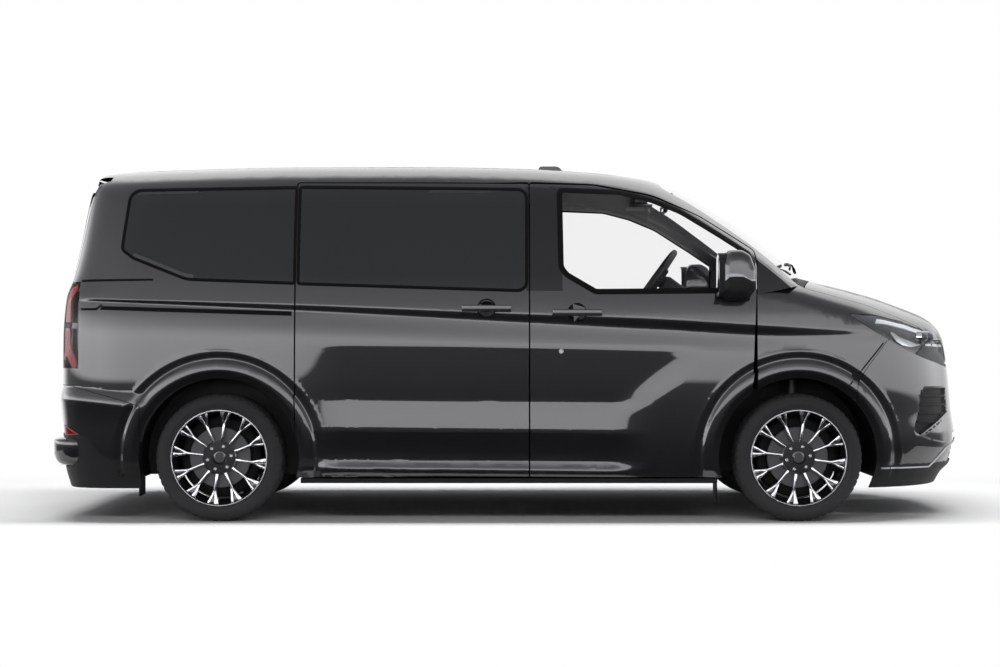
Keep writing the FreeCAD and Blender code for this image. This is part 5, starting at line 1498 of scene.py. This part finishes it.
def make_side_trim():
    """Dark seams and strips on the flanks, the reflectors, and the locks in the front doors."""
    trim = bmesh.new()
    seam = [(-2.325, 1.296), (-1.93, 1.300), (-1.93, 1.289), (-2.325, 1.283)]
    rail_tail = [(-2.321, 1.1425), (-2.236, 1.1425), (-2.205, 1.164), (-2.200, 1.158), (-2.232, 1.130),
                 (-2.321, 1.130)]
    slot = [(-2.204, 1.1530), (-1.187, 1.1245), (-1.187, 1.1005), (-2.214, 1.1325)]
    for outline in (seam, rail_tail, slot):
        merge(trim, plate(outline, upper_field, 0.0006, -0.004), 0)
    gap = [(1.986, 0.958), (1.992, 0.953), (1.792, 0.722), (1.786, 0.727)]
    merge(trim, plate(gap, lower_field, 0.0004, -0.004), 0)
    finish_piece(trim, "side_seams", [RUBBER_TRIM], twin=True)
    reflector = plate([(-2.427, 0.514), (-2.323, 0.463), (-2.419, 0.458)], upper_field, 0.003, -0.004, step=0.012,
                      rounding=0.001)
    finish_piece(reflector, "rear_reflectors", [RED_LENS], twin=True)

    def lock():
        x, z = LOCK_PLACE
        y = float(march([(x, 0.0, z)], 1, -1, upper_field, 0.0)[0][1])
        ring_profile = [(0.0, -0.0015), (0.0075, -0.0015), (0.0095, -0.003), (0.012, -0.003), (0.0135, -0.0005),
                        (0.0135, 0.004), (0.0, 0.004)]
        return lathe(ring_profile, 32, (x, y, z), closed=False)

    right_and_left(lock, "front_door_lock", [SATIN], "front_door_%s")


def make_mirrors():
    """Door mirrors: painted cap, lit strip, black body, glass facing back."""
    outline = rounded([(1.092, 1.292, 0.02), (1.098, 1.385, 0.05), (1.125, 1.447, 0.04), (1.205, 1.450, 0.06),
                       (1.250, 1.425, 0.05), (1.280, 1.345, 0.06), (1.282, 1.240, 0.05), (1.240, 1.182, 0.04),
                       (1.130, 1.182, 0.04), (1.096, 1.215, 0.03)], 5)
    outline = np.array(dense(outline, 0.012))
    middle = np.array((1.186, 1.315))

    def cap_line(p):
        return p[:, 2] - (1.291 + 0.030 * hump(p[:, 0], 1.10, 1.13, 1.19, 1.25))

    def strip_line(p):
        return p[:, 2] - (1.283 + 0.022 * hump(p[:, 0], 1.11, 1.14, 1.20, 1.26))

    def housing():
        bm = bmesh.new()
        rings = []
        for y, scale in ((-0.976, 0.90), (-0.982, 0.95), (-0.992, 0.975), (-1.02, 1.0), (-1.06, 0.995),
                         (-1.09, 0.97), (-1.112, 0.92), (-1.126, 0.84), (-1.133, 0.74), (-1.1365, 0.55),
                         (-1.1368, 0.2)):
            spots = middle + (outline - middle) * scale
            rings.append([bm.verts.new((min(a, 1.284), y, b)) for a, b in spots])
        close_rings(bm, rings)
        mark = bm.faces.layers.int.new("outside")
        for face in bm.faces:
            face[mark] = 1
        for scalar in (cap_line, strip_line, plane(0, MIRROR_BACK)):
            cut_field(bm, mark, scalar)
        spots = centres(list(bm.faces))
        for face, cap, strip, rear in zip(bm.faces, cap_line(spots) > 0, strip_line(spots) > 0,
                                          spots[:, 0] < MIRROR_BACK):
            face.material_index = 1 if rear else 0 if cap else 2 if strip else 1
        # The glass, sunk into the back
        glass = prism(rounded([(-1.118, 1.205, 0.03), (-1.118, 1.425, 0.045), (-0.998, 1.425, 0.045),
                               (-0.998, 1.205, 0.03)]), 1.0795, 1.0900, 0, 0.0015)
        merge(bm, glass, 3)
        frame_ring = prism(rounded([(-1.124, 1.199, 0.03), (-1.124, 1.431, 0.045), (-0.992, 1.431, 0.045),
                                    (-0.992, 1.199, 0.03)]), 1.0806, 1.1200, 0, 0.003)
        merge(bm, frame_ring, 1)
        foot = prism(rounded([(1.150, 1.182, 0.01), (1.262, 1.182, 0.01), (1.262, 1.238, 0.02),
                              (1.150, 1.238, 0.02)]), -0.990, -0.935, 1, 0.004)
        merge(bm, foot, 1)
        return bm

    for side in ("right", "left"):
        bm = housing()
        if side == "left":
            swap_sides(bm)
        finish_piece(bm, "mirror_%s_skin" % side, [PAINT, BLACK, LAMP_WHITE, MIRROR_GLASS],
                     "front_door_" + side, 0.9, node="mirror_" + side)


def oblong(half, low, high, radius):
    return rounded([(-half, low, radius), (half, low, radius), (half, high, radius), (-half, high, radius)])


def make_front_trim():
    """Grille surrounds, intake vanes, lip strips, front plate and wipers."""
    trim = bmesh.new()
    surround = rounded([(-0.386, 0.6165, 0.05), (-0.4395, 0.8415, 0.05), (-0.396, 0.9355, 0.05),
                        (0.396, 0.9355, 0.05), (0.4395, 0.8415, 0.05), (0.386, 0.6165, 0.05)])
    section = [(-0.004, -0.012), (-0.004, -0.001), (0.000, 0.0), (0.006, 0.0), (0.010, -0.0015), (0.010, -0.006)]
    merge(trim, band(surround, section, lower_field, 0, 1), 0)
    lower = rounded([(-0.554, 0.2935, 0.04), (-0.495, 0.460, 0.04), (0.495, 0.460, 0.04), (0.554, 0.2935, 0.04)])
    merge(trim, band(lower, section, lower_field, 0, 1), 1)
    finish_piece(trim, "grille_surrounds", [CHROME, BLACK])
    vanes = bmesh.new()
    for z, x0, x1 in ((0.664, 2.214, 2.44), (0.618, 2.205, 2.44), (0.572, 2.200, 2.38), (0.526, 2.190, 2.30)):
        merge(vanes, plate([(x0, z + 0.006), (x1, z), (x1, z - 0.010), (x0, z - 0.004)], plain_lower, -0.006, -0.016,
                           rounding=0.001), 0)
    finish_piece(vanes, "intake_vanes", [BLACK], twin=True)
    lip = plate([(1.975, 0.287), (2.271, 0.283), (2.384, 0.378), (2.500, 0.420), (2.500, 0.412), (2.390, 0.368),
                 (2.276, 0.274), (1.975, 0.278)], lower_field, 0.0025, -0.004, step=0.03, rounding=0.001)
    finish_piece(lip, "front_lip_strip", [SATIN], twin=True)
    front_plate = plate(oblong(0.26, 0.487, 0.597, 0.012), lower_field, -0.0015, -0.006, 0, 1, 0.04)
    finish_piece(front_plate, "front_plate", [PLATE_WHITE])
    blades = bmesh.new()
    for side in (-1, 1):
        shift = 0.05 if side < 0 else 0.0
        path = []
        for i in range(13):
            y = side * (0.10 - shift + 0.56 * i / 12)
            x = 1.585 - 0.075 * (y / 0.7) ** 2
            path.append((x, y))
        spots = [(x, y, roof_at(x, y) + 0.014) for x, y in path]
        merge(blades, tube(spots, 0.006, 8, 1.6), 0)
        pivot_y = path[0][1] + side * 0.02
        arm = []
        for i in range(9):
            t = i / 8
            x = 1.640 + (path[6][0] - 1.640) * t
            y = pivot_y + (path[6][1] - pivot_y) * t
            arm.append((x, y, roof_at(x, y) + 0.012 + 0.016 * math.sin(3.0 * t)))
        merge(blades, tube(arm, [0.009] * 3 + [0.006] * 6, 8, 0.6), 0)
    finish_piece(blades, "wipers", [BLACK])


def make_rear_trim():
    """Number plate, step, grip over the plate, high brake lamp and rear wiper."""
    rear_plate = plate(oblong(0.26, 0.945, 1.055, 0.012), upper_field, 0.004, -0.003, 0, -1, 0.05, 0.001)
    finish_piece(rear_plate, "rear_plate", [PLATE_WHITE], "tailgate")
    outer = [(-2.320, 0.925), (-2.370, 0.935), (-2.425, 0.915), (-2.475, 0.868), (-2.503, 0.790), (-2.518, 0.680),
             (-2.523, 0.500), (-2.524, 0.250), (-2.524, 0.0)]
    outer = smooth_line([(x, -y) for x, y in outer] + outer[-2::-1], 2)
    section = [(0.120, 0.292), (0.050, 0.296), (0.028, 0.305), (0.012, 0.326), (0.003, 0.356), (0.0, 0.396),
               (0.0, 0.420), (0.002, 0.430), (0.007, 0.437), (0.016, 0.440), (0.050, 0.449), (0.120, 0.452)]
    bm = bmesh.new()
    rings = []
    for i, spot in enumerate(outer):
        along = (outer[min(i + 1, len(outer) - 1)] - outer[max(i - 1, 0)]).normalized()
        inward = Vector((-along.y, along.x))
        if inward.dot(Vector((-2.0, 0.0)) - spot) < 0:
            inward.negate()
        rings.append([bm.verts.new((*(spot + inward * d), z)) for d, z in section])
    close_rings(bm, rings)
    finish_piece(bm, "rear_step", [PAINT], angle=0.9)
    grip = plate(oblong(0.30, 1.118, 1.150, 0.012), upper_field, 0.016, -0.004, 0, -1, 0.04, 0.004)
    finish_piece(grip, "tailgate_grip", [BLACK_GLOSS], "tailgate")
    lamp = plate(oblong(0.17, 1.800, 1.818, 0.006), upper_field, 0.004, -0.004, 0, -1, 0.04, 0.001)
    finish_piece(lamp, "high_brake_lamp", [RED_LENS], "tailgate")
    wiper = bmesh.new()
    arm = march([(0.0, 0.02 - 0.36 * t / 8, 1.262 + 0.07 * t / 8) for t in range(9)], 0, -1, upper_field, 0.014)
    merge(wiper, tube([tuple(p) for p in arm], [0.011] * 2 + [0.007] * 7, 8, 0.7), 0)
    blade = march([(0.0, -0.16 - 0.36 * t / 8, 1.297 + 0.06 * t / 8) for t in range(9)], 0, -1, upper_field, 0.006)
    merge(wiper, tube([tuple(p) for p in blade], 0.005, 8, 1.5), 0)
    finish_piece(wiper, "rear_wiper", [BLACK], "tailgate")


# Cabin

def soften(name, block_mesh, swell, cap, seams):
    """A stuffed cushion: the block is remeshed, blown up like a filled cover, then stitched."""
    mesh = bpy.data.meshes.new(name)
    block_mesh.to_mesh(mesh)
    block_mesh.free()
    pad = bpy.data.objects.new(name, mesh)
    bpy.context.scene.collection.objects.link(pad)
    remesh = pad.modifiers.new("remesh", "REMESH")
    remesh.mode = "VOXEL"
    remesh.voxel_size = FINE_VOXEL
    view = bpy.context.evaluated_depsgraph_get()
    solid = bpy.data.meshes.new_from_object(pad.evaluated_get(view))
    pad.modifiers.clear()
    pad.data = solid
    start = np.zeros(len(solid.vertices) * 3)
    solid.vertices.foreach_get("co", start)
    start = start.reshape(-1, 3)
    cloth = pad.modifiers.new("cloth", "CLOTH")
    cloth.settings.use_pressure = True
    cloth.settings.uniform_pressure_force = swell
    cloth.settings.quality = 5
    cloth.settings.effector_weights.gravity = 0
    cloth.point_cache.frame_start, cloth.point_cache.frame_end = 1, CLOTH_FRAMES
    scene = bpy.context.scene
    for step_frame in range(1, CLOTH_FRAMES + 1):
        scene.frame_set(step_frame)
    blown = pad.evaluated_get(bpy.context.evaluated_depsgraph_get())
    spots = np.zeros(len(start) * 3)
    blown.data.vertices.foreach_get("co", spots)
    spots = spots.reshape(-1, 3)
    pad.modifiers.clear()
    scene.frame_set(1)
    shift = spots - start
    far = np.linalg.norm(shift, axis=1)
    spots = start + shift * np.minimum(1.0, cap / np.maximum(far, 1e-6))[:, None]
    solid.vertices.foreach_set("co", spots.ravel())
    solid.update()
    normals = np.zeros(len(start) * 3)
    solid.vertices.foreach_get("normal", normals)
    normals = normals.reshape(-1, 3)
    sewn = np.zeros(len(start))
    for axis, at in seams:
        sewn = np.maximum(sewn, np.exp(-((start[:, axis] - at) / SEAM) ** 2))
    spots -= normals * (SEAM * sewn)[:, None]
    solid.vertices.foreach_set("co", spots.ravel())
    solid.update()
    thin = pad.modifiers.new("thin", "DECIMATE")
    thin.ratio = 0.30
    light = bpy.data.meshes.new_from_object(pad.evaluated_get(bpy.context.evaluated_depsgraph_get()))
    bpy.data.objects.remove(pad)
    return light


SEAT_PLACES = {"front_seats": (0.420, [-0.430, 0.430]), "middle_seats": (-0.420, [-0.46, 0.0, 0.46]),
               "rear_seats": (-1.270, [-0.46, 0.0, 0.46])}
SEAT_BASE = 0.7903
BACK_LEAN = math.atan2(0.138, 0.50)


def make_seats():
    """Padded cushions, backs and headrests on hard frames, in the places of the CAD's seats."""
    cushion = block((-0.452, -0.208, 0.034), (-0.010, 0.208, 0.108), 0.030, 4)
    cushion_mesh = soften("cushion", cushion, 4.0, 0.022, [(1, -0.115), (1, 0.115), (0, -0.15), (0, -0.30)])
    back = block((-0.095, -0.205, 0.020), (-0.022, 0.205, 0.560), 0.030, 4)
    back_mesh = soften("back", back, 4.0, 0.024, [(1, -0.115), (1, 0.115), (2, 0.16), (2, 0.40)])
    head = block((-0.092, -0.118, 0.652), (-0.012, 0.118, 0.812), 0.030, 4)
    head_mesh = soften("head", head, 3.0, 0.012, [(2, 0.730)])
    for node, (x, places) in SEAT_PLACES.items():
        soft = bmesh.new()
        hard = bmesh.new()
        for y in places:
            lean = Matrix.Translation((x - 0.452, y, SEAT_BASE + 0.085)) @ Matrix.Rotation(-BACK_LEAN, 4, "Y")
            for mesh, matrix in ((cushion_mesh, Matrix.Translation((x, y, SEAT_BASE))), (back_mesh, lean),
                                 (head_mesh, Matrix.Translation((x - 0.645, y, SEAT_BASE)))):
                part = bmesh.new()
                part.from_mesh(mesh)
                part.transform(matrix)
                merge(soft, part)
            for side in (-0.05, 0.05):
                merge(hard, tube([(x - 0.655, y + side, SEAT_BASE + 0.60), (x - 0.700, y + side, SEAT_BASE + 0.69)],
                                 0.006, 8), 1)
            shell = block((-0.104, -0.200, 0.000), (-0.088, 0.200, 0.530), 0.006, 2)
            shell.transform(lean)
            merge(hard, shell, 0)
            recliner = lathe([(0.0, -0.012), (0.030, -0.012), (0.036, -0.004), (0.036, 0.012), (0.0, 0.012)], 24,
                             (x - 0.470, y - 0.212, SEAT_BASE + 0.040), closed=False)
            merge(hard, recliner, 0)
        wide = (min(places) - 0.19, max(places) + 0.19)
        pans = [(y - 0.19, y + 0.19) for y in places] if node == "front_seats" else [wide]
        for left, right in pans:
            merge(hard, block((x - 0.455, left, SEAT_BASE - 0.060), (x - 0.040, right, SEAT_BASE + 0.040), 0.010, 2),
                  0)
        for y in ((wide[0] + 0.03, wide[1] - 0.03) if node != "front_seats" else
                  [place + side for place in places for side in (-0.15, 0.15)]):
            merge(hard, block((x - 0.450, y - 0.020, 0.5205), (x - 0.060, y + 0.020, 0.548), 0.004, 2), 1)
            for leg_x in (x - 0.410, x - 0.100):
                merge(hard, block((leg_x - 0.020, y - 0.014, 0.540), (leg_x + 0.020, y + 0.014, SEAT_BASE - 0.05),
                                  0.004, 2), 1)
        cover = finish_piece(soft, node + "_padding", [CLOTH], angle=1.2, node=node)
        finish_piece(hard, node + "_frames", [CABIN_TRIM, CHASSIS], node=node)


def make_dashboard():
    """Dashboard with hood, dials, middle screen, vents, glovebox and switches."""
    bm = bmesh.new()
    body = rounded([(1.015, 0.905, 0.02), (1.015, 1.110, 0.05), (1.120, 1.222, 0.07), (1.395, 1.256, 0.01),
                    (1.395, 0.905, 0.01)], 8)
    merge(bm, prism(body, -0.808, 0.808, 1, 0.006), 0)
    hood = rounded([(1.035, 1.120, 0.01), (1.040, 1.226, 0.03), (1.140, 1.252, 0.03), (1.240, 1.250, 0.01),
                    (1.200, 1.180, 0.01)], 6)
    merge(bm, prism(hood, -0.565, -0.235, 1, 0.012, 3), 0)
    dial_turn = Matrix.Rotation(math.radians(-90), 3, "Z")
    for y in (-0.480, -0.320):
        ring_profile = [(0.0, -0.004), (0.052, -0.004), (0.054, -0.008), (0.060, -0.008), (0.062, 0.0),
                        (0.062, 0.010), (0.0, 0.010)]
        merge(bm, moved(turned(lathe(ring_profile, 40, (0, 0, 0), closed=False, materials=[1, 2, 2, 0, 0, 0]),
                               dial_turn), (1.040, y, 1.178)))
    merge(bm, block((1.004, -0.135, 1.020), (1.034, 0.135, 1.185), 0.008), 1)
    for y in (-0.720, -0.190, 0.190, 0.720):
        merge(bm, block((1.008, y - 0.055, 1.060), (1.030, y + 0.055, 1.115), 0.006), 1)
        for z in (1.068, 1.079, 1.090, 1.101):
            merge(bm, block((1.004, y - 0.048, z), (1.012, y + 0.048, z + 0.004), 0.001, 1), 2)
    for i in range(6):
        merge(bm, block((1.006, -0.110 + 0.038 * i, 0.985), (1.018, -0.080 + 0.038 * i, 1.005), 0.003, 2), 1)
    for y in (-0.07, 0.0, 0.07):
        knob = lathe([(0.0, -0.020), (0.017, -0.020), (0.021, -0.015), (0.022, 0.004), (0.0, 0.004)], 28, (0, 0, 0),
                     closed=False)
        merge(bm, moved(turned(knob, dial_turn), (1.015, y, 0.945)), 2)
    merge(bm, block((1.006, 0.250, 0.925), (1.018, 0.690, 1.030), 0.008), 0)
    merge(bm, block((1.002, 0.440, 1.004), (1.010, 0.500, 1.018), 0.003, 2), 2)
    finish_piece(bm, "dashboard_skin", [CABIN_TRIM, BLACK_GLOSS, SATIN], node="dashboard")


def make_steering():
    """Steering wheel with a gripped rim, three spokes and a middle pad; stalks behind it."""
    axis = Vector((-math.sqrt(1 - 0.588 ** 2), 0, 0.588))
    turn = Vector((0, 0, 1)).rotation_difference(axis).to_matrix().to_4x4()
    placing = Matrix.Translation((0.808, -0.400, 1.323)) @ turn
    bm = bmesh.new()
    rings = []
    for i in range(96):
        a = 2 * math.pi * i / 96
        grip = 0.0015 * (hump(abs(math.sin(a)), 0.15, 0.3, 0.8, 0.95))
        loop = []
        for k in range(14):
            b = 2 * math.pi * k / 14
            r = 0.1745 + (0.0135 + grip) * math.cos(b)
            loop.append(bm.verts.new((r * math.cos(a), r * math.sin(a), (0.0148 + grip) * math.sin(b))))
        rings.append(loop)
    join_rings(bm, rings, True, True)
    for angle, width in ((0.0, 0.030), (math.pi, 0.030), (-math.pi / 2, 0.024)):
        path = [(0.045 * math.cos(angle), 0.045 * math.sin(angle), -0.020),
                (0.110 * math.cos(angle), 0.110 * math.sin(angle), -0.017),
                (0.168 * math.cos(angle), 0.168 * math.sin(angle), -0.004)]
        merge(bm, tube(path, [width, width * 0.72, width * 0.55], 12, 0.30), 1)
    pad = block((-0.068, -0.075, -0.036), (0.068, 0.060, -0.002), 0.014, 4)
    merge(bm, pad, 0)
    for side in (-1, 1):
        merge(bm, block((0.078 * side - 0.016, -0.014, -0.012), (0.078 * side + 0.016, 0.014, -0.006), 0.003, 2), 2)
    bm.transform(placing)
    bmesh.ops.recalc_face_normals(bm, faces=bm.faces)
    finish_piece(bm, "steering_wheel_skin", [CABIN_TRIM, SATIN, BLACK_GLOSS], "steering_wheel",
                 node="steering_wheel")
    stalks = bmesh.new()
    for side in (-1, 1):
        stalk = tube([(0.030 * side, 0.0, -0.062), (0.090 * side, 0.004, -0.060), (0.150 * side, 0.012, -0.056)],
                     [0.007, 0.007, 0.010], 10, 0.8)
        quarter = Matrix.Rotation(math.pi / 2, 4, "Z")
        stalk.transform(placing @ quarter)
        merge(stalks, stalk, 0)
    shroud = block((-0.045, -0.050, -0.240), (0.045, 0.050, -0.046), 0.016, 4)
    shroud.transform(placing)
    merge(stalks, shroud, 0)
    finish_piece(stalks, "column_switches", [CABIN_TRIM])


def make_cabin_fittings():
    """Inner mirror, sun visors, gear lever and door pulls."""
    bm = bmesh.new()
    top = roof_at(0.93, 0.0)
    merge(bm, tube([(0.935, 0.0, top - 0.012), (0.900, 0.0, top - 0.045), (0.885, 0.0, top - 0.075)], 0.009, 10), 0)
    merge(bm, prism(rounded([(-0.115, top - 0.125, 0.02), (-0.120, top - 0.070, 0.025), (0.120, top - 0.070, 0.025),
                             (0.115, top - 0.125, 0.02)]), 0.872, 0.898, 0, 0.006), 0)
    merge(bm, prism(rounded([(-0.108, top - 0.120, 0.02), (-0.112, top - 0.075, 0.02), (0.112, top - 0.075, 0.02),
                             (0.108, top - 0.120, 0.02)]), 0.8705, 0.874, 0, 0.001), 2)
    for y in (-0.40, 0.40):
        visor_top = roof_at(0.80, abs(y))
        merge(bm, block((0.700, y - 0.20, visor_top - 0.094), (0.835, y + 0.20, visor_top - 0.078), 0.007, 3), 1)
    lever = tube([(0.960, -0.06, 0.930), (0.925, -0.06, 0.975), (0.905, -0.06, 1.020)], [0.010, 0.009, 0.008], 10)
    merge(bm, lever, 0)
    knob = block((0.880, -0.080, 1.012), (0.930, -0.040, 1.062), 0.016, 4)
    merge(bm, knob, 0)
    merge(bm, block((0.930, -0.115, 0.905), (1.020, -0.005, 0.945), 0.012, 3), 0)
    finish_piece(bm, "cabin_fittings", [CABIN_TRIM, CABIN_LIGHT, MIRROR_GLASS])

    def pull():
        door = bmesh.new()
        merge(door, tube([(0.52, -0.812, 1.06), (0.56, -0.790, 1.075), (0.72, -0.790, 1.085), (0.76, -0.812, 1.09)],
                         0.012, 10, 1.2), 0)
        merge(door, block((0.40, -0.838, 0.98), (0.86, -0.800, 1.02), 0.012, 3), 0)
        merge(door, block((0.30, -0.836, 0.42), (1.00, -0.796, 0.56), 0.016, 3), 0)
        return door

    right_and_left(pull, "door_pull", [CABIN_TRIM], "front_door_%s")


make_sides()
make_centre_panels()
make_glazing()
make_wheels()
make_shields()
make_headlamps()
make_tail_lamps()
make_gaskets()
make_side_trim()
make_mirrors()
make_front_trim()
make_rear_trim()
make_seats()
make_dashboard()
make_steering()
make_cabin_fittings()

# The CAD's own nodes keep their shape and get a finish
FINISHES = {
    BLACK_GLOSS: "sail_panels grille roof_aerial", BLACK: "cowl_panel arch_liners sills fuel_tank",
    RUBBER_TRIM: "mud_flaps", LENS: "headlamps", RED_LENS: "tail_lamps", PAINT: "mirror_right mirror_left",
    CABIN_TRIM: "dashboard steering_wheel steering_column", CLOTH: "front_seats middle_seats rear_seats",
    CHASSIS: "floor_pan front_bulkhead front_subframe rear_axle leaf_springs", STEEL: "radiator exhaust",
    CAST: "engine_block knuckle_right knuckle_left"}
FINISH_OF = {name: material for material, names in FINISHES.items() for name in names.split()}
for name, node in nodes.items():
    material = FINISH_OF.get(name)
    if material is None and "tyre" in name:
        material = TYRE_RUBBER
    if material is None and "wheel_" in name:
        material = MACHINED
    if material is not None:
        node.data.materials.clear()
        node.data.materials.append(material)
